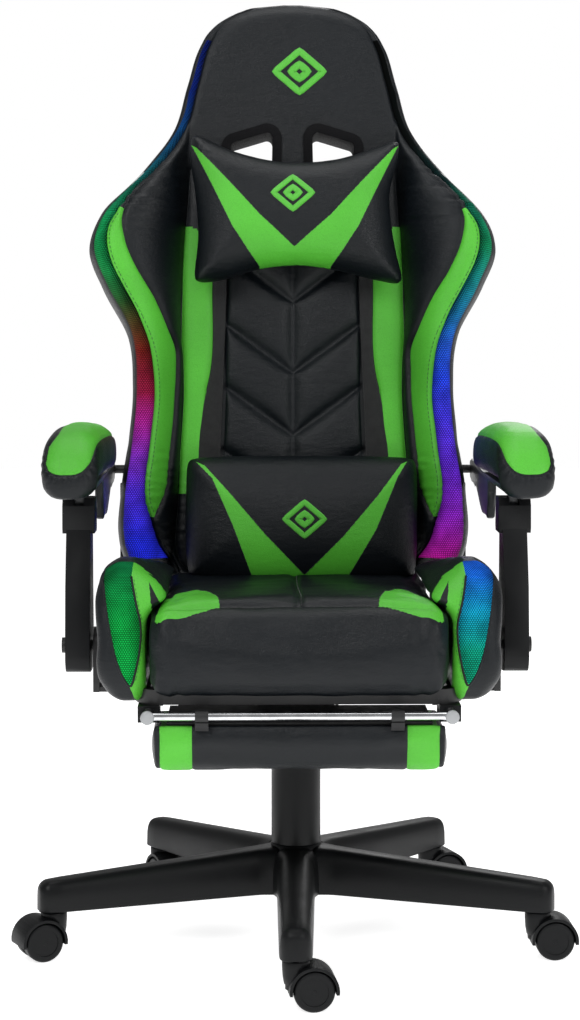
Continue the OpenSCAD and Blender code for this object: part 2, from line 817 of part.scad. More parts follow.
module armrest_pad(side) {
    low = core_low + core_t + 0.3;
    color("#202125") mirrored(side) translate([278, -60, 0]) rotate([0, 0, pad_toe]) intersection() {
        across(-42, 42) polygon(concat(
            [[150, low + 4]],
            smooth([[152, low + 14], [148, low + 40], [120, 676], [40, 686], [-60, 687], [-110, 677],
                [-142, 650], [-152, 622], [-146, 600], [-136, 596]], 3),
            [[-131, 598], [-131, low], [146, low]]));
        translate([0, 200, 0]) rotate([90, 0, 0]) linear_extrude(400) polygon(concat(
            [[-24, 590], [24, 590]],
            smooth([[32, 600], [39, 630], [38, 660], [28, 680], [0, 688], [-28, 680], [-38, 660], [-39, 630],
                [-32, 600]], 3)));
    }
}

// ---------------------------------------------------------------- footrest

module footrest_guides() {
    color("#131415") both_sides() for (y = [[-255, -205], [-135, -102]]) difference() {
        translate([rail_x - 13, y[0], crossbar_z - 11]) cube([26, y[1] - y[0], ring_low - crossbar_z + 11]);
        translate([rail_x, y[1] + 1, crossbar_z]) rotate([90, 0, 0])
            cylinder(r = rail_r + run, h = y[1] - y[0] + 2);
    }
}

// two rails and the crossbar, welded, with a plug pressed into each rail's front end
module footrest_frame() {
    color("#d8dadd") {
        both_sides() translate([rail_x, rail_back, crossbar_z]) rotate([90, 0, 0])
            cylinder(r = rail_r, h = rail_back - crossbar_y + 6);
        along_x(-rail_x, rail_x, crossbar_y, crossbar_z, bar_r);
    }
    color("#9a9da1") both_sides() translate([rail_x, crossbar_y - 6, crossbar_z]) rotate([90, 0, 0])
        cylinder(r = rail_r - 0.5, h = 3);
}

// the board in the pad, with the lugs that turn on the crossbar
module footrest_board() {
    front = crossbar_y + 14;
    color("#3b3c40") {
        translate([-foot_half + 12, front, foot_top - board_t])
            cube([2 * foot_half - 24, foot_depth - 24, board_t]);
        both_sides() difference() {
            union() {
                along_x(110, 126, crossbar_y, crossbar_z, bar_r + 3);
                translate([110, crossbar_y + 2, foot_top - board_t]) cube([16, 14, board_t]);
                translate([110, crossbar_y - 6, foot_top - 3]) cube([16, 12, 6]);
            }
            along_x(100, 140, crossbar_y, crossbar_z, bar_r + run);
        }
    }
}

module footrest_pad() {
    front = crossbar_y + 5;
    back = front + foot_depth;
    color("#232428") across(-foot_half, foot_half) polygon([[front + 3, foot_top - board_t - 0.3],
        [front, foot_top - 16], [front + 1, foot_low + 10], [front + 7, foot_low + 2],
        [front + 16, foot_low], [back - 14, foot_low + 3], [back - 3, foot_low + 12],
        [back, foot_top - board_t - 0.3]]);
}

// ---------------------------------------------------------------- what is drawn

star_base();
column_tube();
guide_bush();
dust_cover(0);  // dust_cover_lower
dust_cover(1);  // dust_cover_middle
dust_cover(2);  // dust_cover_upper
for (i = CASTERS) {
    at_caster(i) caster_hood();
    at_caster(i) caster_wheels();
}
piston_rod();
gas_cylinder();
mechanism_housing();
tilt_pin();
tension_spring();
tension_knob();
lever_pivot();
height_lever();
seat_plate();
seat_frame();
seat_bolts();
seat_cushion();
seat_led_mesh();
seat_led_strips();
recliner_brackets();
recliner_caps();
recliner_lever();
arm_brackets();
footrest_guides();
footrest_frame();
footrest_board();
footrest_pad();
back_frame();
back_cushion();
head_cushion();
back_led_mesh();
back_led_strips();
belt_bezels();
recliner_arms();
recliner_covers();
lumbar_straps();
head_strap();
head_pillow();
lumbar_pillow();
for (s = SIDES) {
    seat_bolster(side_of(s));
    back_wing(side_of(s));
    arm_strut(side_of(s));
    armrest_core(side_of(s));
    armrest_pad(side_of(s));
}
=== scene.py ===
import json
from math import atan, atan2, copysign, cos, exp, radians, sin, sqrt, tan, pi as PI
from contextlib import contextmanager

import bmesh
import bpy
import numpy as np
from mathutils import Matrix, Vector
from mathutils.bvhtree import BVHTree

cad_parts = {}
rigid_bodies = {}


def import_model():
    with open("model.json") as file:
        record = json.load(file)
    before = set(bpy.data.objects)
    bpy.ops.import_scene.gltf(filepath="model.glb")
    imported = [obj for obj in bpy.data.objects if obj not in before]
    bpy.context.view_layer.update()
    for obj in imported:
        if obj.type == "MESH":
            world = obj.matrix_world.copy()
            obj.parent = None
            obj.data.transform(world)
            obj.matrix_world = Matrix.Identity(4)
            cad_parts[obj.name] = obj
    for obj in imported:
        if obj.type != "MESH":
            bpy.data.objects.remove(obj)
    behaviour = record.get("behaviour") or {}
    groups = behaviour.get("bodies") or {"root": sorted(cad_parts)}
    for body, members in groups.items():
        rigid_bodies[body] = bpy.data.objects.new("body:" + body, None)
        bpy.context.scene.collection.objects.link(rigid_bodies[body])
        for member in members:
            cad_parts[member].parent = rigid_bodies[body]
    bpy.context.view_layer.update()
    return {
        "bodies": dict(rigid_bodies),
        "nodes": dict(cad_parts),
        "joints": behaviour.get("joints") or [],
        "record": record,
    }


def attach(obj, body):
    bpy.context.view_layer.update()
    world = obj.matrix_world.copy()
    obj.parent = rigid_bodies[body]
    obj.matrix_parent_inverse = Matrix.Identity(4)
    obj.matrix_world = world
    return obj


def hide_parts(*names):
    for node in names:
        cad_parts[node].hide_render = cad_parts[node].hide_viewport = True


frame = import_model()

SIDES = {"left": 1, "right": -1}  # the sitter's left is +X
LEAN = radians(6.5)  # the back's lean in its upright notch
PIVOT = Vector(next(j["pos_m"] for j in frame["joints"] if j["name"] == "recline"))
BACK = Matrix.Translation(PIVOT) @ Matrix.Rotation(-LEAN, 4, "X")  # from the back's own (x, y, v) to the world
IDENTITY = Matrix.Identity(4)


# ---------- curves and meshes

def hermite(knots):
    """A smooth function through (position, value) knots, flat outside them."""
    t, y = np.array(knots, float).T
    s = np.gradient(y, t)

    def f(q):
        q = np.clip(np.asarray(q, float), t[0], t[-1])
        i = np.clip(np.searchsorted(t, q) - 1, 0, len(t) - 2)
        h = t[i + 1] - t[i]
        u = (q - t[i]) / h
        return ((1 + 2 * u) * (1 - u) ** 2 * y[i] + u * (1 - u) ** 2 * h * s[i]
                + u * u * (3 - 2 * u) * y[i + 1] + u * u * (u - 1) * h * s[i + 1])
    return f


def smoothstep(x, a, b):
    t = np.clip((np.asarray(x, float) - a) / (b - a), 0, 1)
    return t * t * (3 - 2 * t)


def dense_ends(n, power=1.0):
    """n + 1 values from 0 to 1, closer together towards both ends."""
    t = np.linspace(0, 1, n + 1)
    return (1 - power) * t + power * (0.5 - 0.5 * np.cos(PI * t))


def wobble(co, size, seed):
    """Smooth noise from -1 to 1 at an (n, 3) array of points, with features about size apart."""
    rng = np.random.default_rng(seed)
    total = np.zeros(len(co))
    for _ in range(10):
        d = rng.normal(size=3)
        d *= 2 * PI / size / np.linalg.norm(d) * rng.uniform(0.6, 1.5)
        total += np.sin(co @ d + rng.uniform(0, 2 * PI))
    return total / 10 * 2.2


def circle(radius, n):
    return [(radius * cos(2 * PI * k / n), radius * sin(2 * PI * k / n)) for k in range(n)]


def metres(points, per_metre=1000, sign=1):
    """2-D points in metres from points in millimetres, mirrored across x where sign is -1."""
    return [(sign * x / per_metre, y / per_metre) for x, y in points]


def facing_line(points, per_metre=1000, sign=1, y=-0.6):
    """The same as 3-D points in front of the chair, to be cast back onto a surface."""
    return [(x, y, z) for x, z in metres(points, per_metre, sign)]


def linked(name, data):
    obj = bpy.data.objects.new(name, data)
    bpy.context.scene.collection.objects.link(obj)
    return obj


def new_object(name, verts, faces, mats, index=None, smooth=True):
    mesh = bpy.data.meshes.new(name)
    mesh.from_pydata([tuple(v) for v in verts], [], [tuple(f) for f in faces])
    for m in mats:
        mesh.materials.append(m)
    if index is not None:
        mesh.polygons.foreach_set("material_index", np.asarray(index, np.int32))
    mesh.polygons.foreach_set("use_smooth", np.full(len(mesh.polygons), smooth))
    mesh.update()
    return linked(name, mesh)


def ring_faces(rings, n, caps=True):
    """Quads between rings of n points each, and an n-gon on each end."""
    faces = []
    for i in range(rings - 1):
        for j in range(n):
            k = (j + 1) % n
            faces.append((i * n + j, i * n + k, (i + 1) * n + k, (i + 1) * n + j))
    if caps:
        faces.append(tuple(range(n - 1, -1, -1)))
        faces.append(tuple((rings - 1) * n + j for j in range(n)))
    return faces


@contextmanager
def edited(obj):
    """The object's mesh as a bmesh, written back at the end."""
    bm = bmesh.new()
    bm.from_mesh(obj.data)
    yield bm
    bm.to_mesh(obj.data)
    bm.free()


def vectors(obj, attribute):
    """Each vertex's co or normal, as an (n, 3) array."""
    values = np.empty(len(obj.data.vertices) * 3, np.float32)
    obj.data.vertices.foreach_get(attribute, values)
    return values.reshape(-1, 3)


def coords(obj):
    return vectors(obj, "co").astype(float)


def set_coords(obj, co):
    obj.data.vertices.foreach_set("co", np.asarray(co, np.float32).ravel())
    obj.data.update()


def push_out(obj, co, amount):
    """Puts the vertices at co, moved along their normals by amount."""
    set_coords(obj, co + vectors(obj, "normal") * amount[:, None])


def outward(obj):
    with edited(obj) as bm:
        bmesh.ops.recalc_face_normals(bm, faces=bm.faces)
    return obj


def place(obj, matrix):
    obj.data.transform(matrix)
    obj.data.update()
    return obj


def apply_modifiers(obj):
    dg = bpy.context.evaluated_depsgraph_get()
    mesh = bpy.data.meshes.new_from_object(obj.evaluated_get(dg))
    old = obj.data
    obj.modifiers.clear()
    obj.data = mesh
    bpy.data.meshes.remove(old)
    return obj


def subdivided(obj):
    """Subdivides once. Wide faces are cut up first, since they take very long to subdivide."""
    with edited(obj) as bm:
        wide = [f for f in bm.faces if len(f.verts) > 8]
        if wide:
            bmesh.ops.triangulate(bm, faces=wide)
    obj.modifiers.new("subdivision", "SUBSURF").levels = 1
    return apply_modifiers(obj)


def joined(name, parts):
    first = parts[0]
    with edited(first) as bm:
        for other in parts[1:]:
            bm.from_mesh(other.data)
            bpy.data.objects.remove(other)
    first.name = name
    return first


def assign(obj, body, replaced=()):
    """Rides obj on its body and hides the CAD parts that it stands for."""
    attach(obj, body)
    if replaced:
        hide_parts(*replaced)
    return obj


CLOTH_FRAMES = 20


def swell(obj, pressure, cap, voxel, hold):
    """Blows a closed pad up as cloth, and moves no point further than cap. hold(co) is true where a point stays put."""
    remesh = obj.modifiers.new("remesh", "REMESH")
    remesh.mode = "VOXEL"
    remesh.voxel_size = voxel
    apply_modifiers(obj)
    start = coords(obj)
    cloth = obj.modifiers.new("cloth", "CLOTH")
    s = cloth.settings
    s.quality = 6
    s.mass = 0.25
    s.use_pressure = True
    s.uniform_pressure_force = pressure
    s.effector_weights.gravity = 0
    s.tension_stiffness = s.compression_stiffness = 12
    s.shear_stiffness = 6
    s.bending_stiffness = 0.6
    cloth.collision_settings.use_collision = False
    group = obj.vertex_groups.new(name="hold")
    group.add([int(i) for i in np.nonzero(hold(start))[0]], 1.0, "REPLACE")
    s.vertex_group_mass = "hold"
    scene = bpy.context.scene
    scene.frame_start, scene.frame_end = 1, CLOTH_FRAMES
    for f in range(1, CLOTH_FRAMES + 1):
        scene.frame_set(f)
    apply_modifiers(obj)
    scene.frame_set(1)
    moved = coords(obj) - start
    far = np.linalg.norm(moved, axis=1, keepdims=True)
    set_coords(obj, start + moved * np.minimum(1, cap * np.tanh(far / cap) / np.maximum(far, 1e-9)))
    for p in obj.data.polygons:
        p.use_smooth = True


# ---------- projecting onto a surface

class Surface:
    """The outside of an object, looked at along a direction in a local frame."""

    def __init__(self, obj, frame=IDENTITY, look=(0, 1, 0)):
        self.frame = frame
        bm = bmesh.new()
        bm.from_mesh(obj.data)
        bm.transform(frame.inverted())
        self.tree = BVHTree.FromBMesh(bm)
        bm.free()
        self.look = Vector(look).normalized()

    def hit(self, p):
        """The local point and normal where a line through p along the look meets the surface first."""
        p = Vector(p)
        at, normal, _, _ = self.tree.ray_cast(p - self.look * 2, self.look)
        if at is None:
            at, normal, _, _ = self.tree.find_nearest(p)
        if normal.dot(self.look) > 0:
            normal = -normal
        return at, normal


def resample(points, step, closed=False):
    """Points about step apart along a polyline of 3-D points, with their corners kept."""
    pts = [Vector(p) for p in points]
    if closed:
        pts.append(pts[0])
    out = []
    for a, b in zip(pts, pts[1:]):
        n = max(1, round((b - a).length / step))
        out += [a.lerp(b, i / n) for i in range(n)]
    if not closed:
        out.append(pts[-1])
    return out


def smooth_line(points, per=8, closed=False):
    """A Catmull-Rom curve through a few points."""
    p = [Vector(q) for q in points]
    n = len(p)
    out = []
    for i in range(n if closed else n - 1):
        a, b, c, d = (p[(i + k) % n] if closed else p[min(max(i + k, 0), n - 1)] for k in (-1, 0, 1, 2))
        for j in range(per):
            t = j / per
            out.append(0.5 * (2 * b + (c - a) * t + (2 * a - 5 * b + 4 * c - d) * t * t
                              + (3 * b - a - 3 * c + d) * t ** 3))
    if not closed:
        out.append(p[-1])
    return out


def sweep(name, line, normals, section, mats, closed=False):
    """A closed section, as (across, out) pairs, swept along a line with a surface normal at each point."""
    n = len(line)
    verts = []
    for i in range(n):
        a = line[(i - 1) % n] if closed or i > 0 else line[i]
        b = line[(i + 1) % n] if closed or i < n - 1 else line[i]
        tangent = (b - a).normalized()
        out = (normals[i] - tangent * normals[i].dot(tangent)).normalized()
        across = tangent.cross(out)
        verts += [line[i] + across * u + out * v for u, v in section]
    m = len(section)
    faces = ring_faces(n, m, caps=not closed)
    if closed:
        faces += [((n - 1) * m + j, (n - 1) * m + (j + 1) % m, (j + 1) % m, j) for j in range(m)]
    return outward(new_object(name, verts, faces, mats))


def band_section(width, height, sink, edge):
    w = width / 2
    return [(-w, -sink), (-w, height * 0.5), (-w + edge, height), (0, height * 1.08), (w - edge, height),
            (w, height * 0.5), (w, -sink)]


def piping(name, surface, points, radius, body, at=IDENTITY):
    """A leather cord sewn along a smooth line through points on a surface, sunk into it by part of its radius."""
    hits = [surface.hit(p) for p in resample(smooth_line(points, 5), 0.004)]
    section = [(u, v - radius * 0.3) for u, v in circle(radius, 8)]
    obj = sweep(name, [h[0] for h in hits], [h[1] for h in hits], section, [black_leather])
    return assign(place(obj, at), body)


STITCH_LIFT = 0.0002
# a thread's (place along it, share of its thickness)
STITCH_ENDS = ((-0.5, 0.35), (-0.3, 1.0), (0.3, 1.0), (0.5, 0.35))


def stitches(name, surface, points, mat, body, at=IDENTITY, pitch=0.005, length=0.0036, radius=0.0004):
    """A row of short threads along a line on a surface."""
    line = resample(points, 0.002)
    s = np.concatenate([[0], np.cumsum([(b - a).length for a, b in zip(line, line[1:])])])
    verts, faces = [], []
    for centre in np.arange(pitch / 2, s[-1], pitch):
        i = min(int(np.searchsorted(s, centre)), len(line) - 1)
        p, q = line[max(i - 1, 0)], line[i]
        hit, normal = surface.hit(q)
        ahead, _ = surface.hit(q + (q - p).normalized() * 0.002)
        t = (ahead - hit).normalized()
        side = t.cross(normal).normalized()
        base = len(verts)
        for along, k in STITCH_ENDS:
            for c, d in circle(1, 5):
                verts.append(hit + normal * STITCH_LIFT + t * length * along + (side * c + normal * d) * radius * k)
        faces += [tuple(base + v for v in f) for f in ring_faces(4, 5)]
    return assign(place(outward(new_object(name, verts, faces, [mat])), at), body)


def cut_region(obj, polygon, index, axes=(0, 2), facing=lambda n: n.y < -0.1, where=lambda c: True):
    """Cuts a polygon's outline into the mesh, as seen along the axis that axes leave out, and gives the faces inside
    it a material. facing tests a face's normal and where its centre."""
    u, v = axes
    bm = bmesh.new()
    bm.from_mesh(obj.data)
    pts = [np.array(p, float) for p in polygon]
    box_low, box_high = np.min(pts, axis=0) - 0.002, np.max(pts, axis=0) + 0.002

    def looks(f):
        return facing(f.normal) and where(f.calc_center_median())

    def inside_box(f):
        return all(max(w.co[k] for w in f.verts) > low and min(w.co[k] for w in f.verts) < high
                   for k, low, high in zip(axes, box_low, box_high))

    pool = {f for f in bm.faces if looks(f) and inside_box(f)}
    for a, b in zip(pts, pts[1:] + pts[:1]):
        d = b - a
        length = np.linalg.norm(d)
        if length < 1e-6:
            continue
        d = d / length
        nrm = (-d[1], d[0])
        near = []
        for f in pool:
            rel = [(w.co[u] - a[0], w.co[v] - a[1]) for w in f.verts]
            t = [p * nrm[0] + q * nrm[1] for p, q in rel]
            along = [p * d[0] + q * d[1] for p, q in rel]
            if min(t) < 0 < max(t) and max(along) > -1e-5 and min(along) < length + 1e-5:
                near.append(f)
        if not near:
            continue
        no, co = [0, 0, 0], [0, 0, 0]
        no[u], no[v] = nrm
        co[u], co[v] = a
        near.sort(key=lambda f: f.index)
        geom = list({e: None for f in near for e in f.edges}) + near
        cut = bmesh.ops.bisect_plane(bm, geom=geom, plane_co=co, plane_no=no, dist=2e-5)
        pool = {f for f in pool if f.is_valid}
        pool.update(f for f in cut["geom"] if isinstance(f, bmesh.types.BMFace) and looks(f))
        bm.faces.index_update()
    for f in bm.faces:
        if inside_box(f) and looks(f):
            c = f.calc_center_median()
            if inside_polygon(c[u], c[v], np.array(pts)):
                f.material_index = index
    bm.to_mesh(obj.data)
    bm.free()


def inside_polygon(x, y, polygon):
    """Whether a line from (x, y) towards +x crosses the polygon an odd number of times."""
    px, py = polygon.T
    qx, qy = np.roll(polygon, -1, axis=0).T
    crosses = (py > y) != (qy > y)
    at = (qx - px) * (y - py) / np.where(crosses, qy - py, 1) + px
    return np.count_nonzero(crosses & (x < at)) % 2 == 1


# ---------- materials

class Nodes:
    """A short way to build a node material."""

    def __init__(self, name):
        self.mat = bpy.data.materials.new(name)
        self.mat.use_nodes = True
        self.tree = self.mat.node_tree
        self.shader = self.tree.nodes["Principled BSDF"]
        self.coord = self.add("ShaderNodeTexCoord")

    def add(self, kind, **values):
        node = self.tree.nodes.new(kind)
        inputs = values.pop("inputs", {})
        for k, v in values.items():
            setattr(node, k, v)
        for k, v in inputs.items():
            self.put(node.inputs[k], v)
        return node

    def put(self, socket, value):
        if isinstance(value, bpy.types.NodeSocket):
            self.tree.links.new(value, socket)
        else:
            socket.default_value = value

    def math(self, op, *values):
        return self.add("ShaderNodeMath", operation=op, inputs=dict(enumerate(values))).outputs[0]

    def vector_math(self, op, *values):
        return self.add("ShaderNodeVectorMath", operation=op, inputs=dict(enumerate(values))).outputs

    def axes(self, vector=None):
        return self.add("ShaderNodeSeparateXYZ", inputs={0: vector or self.coord.outputs["Object"]}).outputs

    def multiply(self, fac, a, b):
        return self.add("ShaderNodeMix", data_type="RGBA", blend_type="MULTIPLY",
                        inputs={0: fac, 6: a, 7: b}).outputs[2]

    def noise(self, scale, detail=3.0, rough=0.5, stretch=None):
        vector = self.coord.outputs["Object"]
        if stretch:
            vector = self.add("ShaderNodeMapping", inputs={"Vector": vector, "Scale": stretch}).outputs[0]
        return self.add("ShaderNodeTexNoise", inputs={
            "Vector": vector, "Scale": scale, "Detail": detail, "Roughness": rough}).outputs["Fac"]

    def cells(self, scale, feature="DISTANCE_TO_EDGE", vector=None):
        node = self.add("ShaderNodeTexVoronoi", feature=feature, inputs={"Scale": scale})
        self.put(node.inputs["Vector"], vector or self.coord.outputs["Object"])
        return node.outputs["Distance"]

    def ramp(self, fac, stops):
        node = self.add("ShaderNodeValToRGB")
        ramp = node.color_ramp
        while len(ramp.elements) < len(stops):
            ramp.elements.new(0.5)
        for e, (p, c) in zip(ramp.elements, stops):
            e.position = p
            e.color = (*c, 1)
        self.put(node.inputs["Fac"], fac)
        return node.outputs["Color"]

    def tones(self, fac, color, a, dark, b, light):
        """A ramp from a darker shade of a colour at a to a lighter one at b."""
        return self.ramp(fac, [(a, shade(color, dark)), (b, shade(color, light))])

    def range(self, value, low, high, a=0.3, b=0.7):
        return self.add("ShaderNodeMapRange", inputs={
            "Value": value, "From Min": a, "From Max": b, "To Min": low, "To Max": high}).outputs[0]

    def bump(self, height, distance, strength=1.0, under=None):
        node = self.add("ShaderNodeBump", inputs={"Strength": strength, "Distance": distance, "Height": height})
        if under is not None:
            self.put(node.inputs["Normal"], under)
        return node.outputs["Normal"]

    def done(self, color, roughness, normal=None, **constants):
        self.put(self.shader.inputs["Base Color"], color)
        self.put(self.shader.inputs["Roughness"], roughness)
        if normal is not None:
            self.put(self.shader.inputs["Normal"], normal)
        for k, v in constants.items():
            self.shader.inputs[k.replace("_", " ")].default_value = v
        return self.mat


def shade(c, k):
    return tuple(min(1.0, x * k) for x in c)



def leather(name, color, rough=(0.31, 0.45), grain=620, crease=0.5, gloss=0.29):
    """Imitation leather: a pebbled grain, faint creases, and worn patches that shine more."""
    n = Nodes(name)
    place_on = n.coord.outputs["Object"]
    large = n.noise(7, 2)
    warp = n.add("ShaderNodeTexNoise", inputs={"Vector": place_on, "Scale": 140, "Detail": 1})
    warped = n.vector_math("MULTIPLY_ADD", warp.outputs["Color"], (0.0015,) * 3, place_on)[0]
    valley = n.range(n.cells(grain, vector=warped), 0, 1, 0, 0.28)
    fine = n.noise(1900, 2)
    creases = n.noise(48, 3, 0.6, stretch=(1, 1, 2.4))
    tint = n.multiply(0.35, n.tones(large, color, 0.3, 0.86, 0.72, 1.14),
                      n.ramp(valley, [(0.0, (0.45,) * 3), (0.6, (1, 1, 1))]))
    roughness = n.range(n.math("ADD", n.math("MULTIPLY", large, 0.6), n.math("MULTIPLY", fine, 0.4)), *rough)
    low = n.bump(creases, 0.0016, crease)
    normal = n.bump(n.math("ADD", valley, n.math("MULTIPLY", fine, 0.25)), 0.00016, 0.75, low)
    return n.done(tint, roughness, normal, Specular_IOR_Level=gloss)


def plastic(name, color, rough=0.42, grain=900, depth=0.00012, gloss=0.5):
    """Moulded plastic with a spark-eroded texture and a few rubbed places."""
    n = Nodes(name)
    spark = n.math("ADD", n.noise(grain, 3, 0.6), n.cells(grain * 0.8, "F1"))
    cloud = n.noise(11, 3)
    return n.done(n.tones(cloud, color, 0.3, 0.85, 0.75, 1.25), n.range(cloud, rough - 0.08, rough + 0.08),
                  n.bump(spark, depth, 0.6), Specular_IOR_Level=gloss)


def metal(name, color, rough, brushed=False, coat=False):
    """Polished, brushed or painted metal."""
    n = Nodes(name)
    streak = n.noise(60, 4, 0.6, stretch=(0.4, 9, 9) if brushed else None)
    normal = n.bump(n.noise(700 if coat else 260, 3), 0.0002 if coat else 0.00004, 0.5)
    return n.done(n.tones(streak, color, 0.3, 0.8, 0.7, 1.12), n.range(streak, max(rough - 0.06, 0.03), rough + 0.08),
                  normal, Metallic=0.0 if coat else 1.0)


def webbing(name, color, pitch=0.0016):
    """Woven elastic: ribs along the band, crossed by a finer weft."""
    n = Nodes(name)
    at = n.axes()
    rib = n.math("SINE", n.math("MULTIPLY", at["X"], 2 * PI / pitch))
    weft = n.math("SINE", n.math("MULTIPLY", at["Z"], 2 * PI / (pitch * 0.7)))
    weave = n.math("MULTIPLY", rib, weft)
    base = n.tones(n.math("MULTIPLY_ADD", weave, 0.5, 0.5), color, 0.0, 0.5, 1.0, 1.6)
    return n.done(base, n.range(n.noise(90), 0.72, 0.9), n.bump(weave, 0.0003, 0.8), Sheen_Weight=0.25)


def thread(name, color):
    n = Nodes(name)
    twist = n.noise(1500, 2, stretch=(1, 1, 0.3))
    return n.done(n.tones(twist, color, 0.3, 0.6, 0.7, 1.2), n.range(twist, 0.5, 0.8), n.bump(twist, 0.0003, 0.6),
                  Sheen_Weight=0.2)


def embroidery(name, color, pitch=0.0011):
    """Satin stitch: close slanted threads."""
    n = Nodes(name)
    at = n.axes()
    slant = n.math("ADD", n.math("MULTIPLY", at["Z"], 0.9), n.math("MULTIPLY", at["X"], 0.45))
    rows = n.math("SINE", n.math("MULTIPLY", slant, 2 * PI / pitch))
    fibre = n.noise(900, 2, stretch=(1, 1, 4))
    base = n.tones(n.math("MULTIPLY_ADD", rows, 0.35, fibre), color, 0.1, 0.62, 0.9, 1.15)
    return n.done(base, n.range(fibre, 0.42, 0.62), n.bump(rows, 0.0003, 0.7), Sheen_Weight=0.15)


def lit_mesh(name, stops, strength=1.35, pitch=0.0029):
    """A black net of small round holes with coloured light behind it. The map "weave" holds metres along the cloth,
    and "band" holds the place across the strip and the share of its length."""
    n = Nodes(name)
    row = 1.732  # the height of two rows of holes, in pitches
    weave, band = (n.add("ShaderNodeUVMap", uv_map=uv).outputs[0] for uv in ("weave", "band"))
    band = n.axes(band)
    scaled = n.add("ShaderNodeMapping", inputs={"Vector": weave,
                                                "Scale": (1 / pitch, 1 / (pitch * row), 0)}).outputs[0]

    def lattice(*shift):
        cell = n.vector_math("FRACTION", n.vector_math("ADD", scaled, shift)[0])[0]
        centred = n.vector_math("SUBTRACT", cell, (0.5, 0.5, 0))[0]
        return n.vector_math("LENGTH", n.vector_math("MULTIPLY", centred, (1, row, 0))[0])["Value"]

    hole = n.range(n.math("MINIMUM", lattice(0, 0, 0), lattice(0.5, 0.5, 0)), 1, 0, 0.30, 0.40)
    across = n.math("SINE", n.math("MULTIPLY", band["X"], PI))
    blotch = n.range(n.noise(38, 2), 0.55, 1.1)
    glow = n.math("MULTIPLY", n.math("MULTIPLY", n.math("POWER", across, 0.75), blotch),
                  n.math("MULTIPLY_ADD", hole, 0.8, 0.2))
    tone = n.ramp(band["Y"], stops)
    n.put(n.shader.inputs["Emission Color"], tone)
    n.put(n.shader.inputs["Emission Strength"], n.math("MULTIPLY", glow, strength))
    base = n.multiply(1.0, tone, n.ramp(hole, [(0, (0.012,) * 3), (1, (0.12,) * 3)]))
    return n.done(base, 0.8, n.bump(hole, 0.0006, -0.7), Specular_IOR_Level=0.06)


BLACK = (0.0038, 0.0058, 0.0080)
LIME = (0.100, 0.53, 0.042)
black_leather = leather("black_leather", BLACK)
green_leather = leather("green_leather", LIME, rough=(0.34, 0.46), crease=0.35)
dark_leather = leather("dark_leather", shade(BLACK, 0.6), rough=(0.5, 0.62))
LEATHERS = [black_leather, green_leather]
nylon = plastic("nylon", (0.0046, 0.0050, 0.0056), 0.42, gloss=0.2)
smooth_plastic = plastic("smooth_plastic", (0.010, 0.010, 0.011), 0.24, 500, 0.00003)
bezel_plastic = leather("bezel_plastic", (0.006, 0.006, 0.007), rough=(0.6, 0.75), grain=1500, gloss=0.1)
# the belt holes' walls: the cover's leather, painted darker and without shine as shade inside the holes
hole_wall_painted_shade = leather("hole_wall_painted_shade", (0.004, 0.004, 0.005), rough=(0.9, 1.0), gloss=0.0)
grey_plastic = plastic("grey_plastic", (0.026, 0.029, 0.031), 0.34, 700, 0.00006)
pale_plastic = plastic("pale_plastic", (0.36, 0.37, 0.38), 0.35, 500, 0.00006)
bush_plastic = plastic("bush_plastic", (0.75, 0.74, 0.70), 0.4, 500, 0.00006)
coated_steel = metal("coated_steel", (0.012, 0.012, 0.013), 0.38, coat=True)
chrome = metal("chrome", (0.74, 0.75, 0.77), 0.10)
zinc = metal("zinc", (0.50, 0.51, 0.53), 0.30, brushed=True)
elastic = webbing("elastic", (0.010, 0.010, 0.011))
black_thread = thread("black_thread", (0.016, 0.016, 0.018))
dark_green_thread = thread("dark_green_thread", (0.02, 0.16, 0.015))
satin_stitch = embroidery("satin_stitch", (0.11, 0.62, 0.045))
painted_board = metal("painted_board", (0.010, 0.010, 0.011), 0.5, coat=True)
diffuser = plastic("diffuser", (0.8, 0.8, 0.78), 0.3)

# the lights' colours, in thousandths: (share of the length from the foot up, red, green, blue). "right" is the sitter's
# right, at the picture's left
GLOW = {
    "lit_mesh_right": [(0, 10, 20, 600), (100, 20, 30, 800), (180, 80, 30, 720), (235, 220, 30, 550),
        (290, 460, 20, 340), (340, 340, 12, 60), (410, 200, 15, 10), (490, 20, 100, 20), (550, 8, 340, 80),
        (620, 6, 360, 100), (680, 4, 160, 100), (740, 4, 90, 200), (850, 3, 20, 220), (1000, 2, 5, 100)],
    "lit_mesh_left": [(0, 450, 10, 50), (30, 450, 10, 80), (70, 420, 10, 260), (140, 260, 20, 550),
        (220, 140, 30, 750), (300, 60, 40, 800), (360, 20, 60, 800), (420, 20, 120, 750), (470, 10, 220, 500),
        (520, 6, 300, 320), (580, 6, 360, 140), (640, 4, 220, 120), (690, 2, 30, 30), (760, 0, 2, 2),
        (1000, 0, 0, 0)],
    "lit_seat_mesh_right": [(0, 5, 500, 80), (500, 5, 450, 70), (850, 3, 250, 60), (1000, 2, 120, 50)],
    "lit_seat_mesh_left": [(0, 3, 220, 100), (300, 4, 420, 260), (600, 6, 380, 620), (850, 10, 160, 800),
        (1000, 10, 80, 600)],
}
mesh_right, mesh_left, seat_mesh_right, seat_mesh_left = (
    lit_mesh(name, [(row[0] / 1000, [c / 1000 for c in row[1:]]) for row in rows]) for name, rows in GLOW.items())

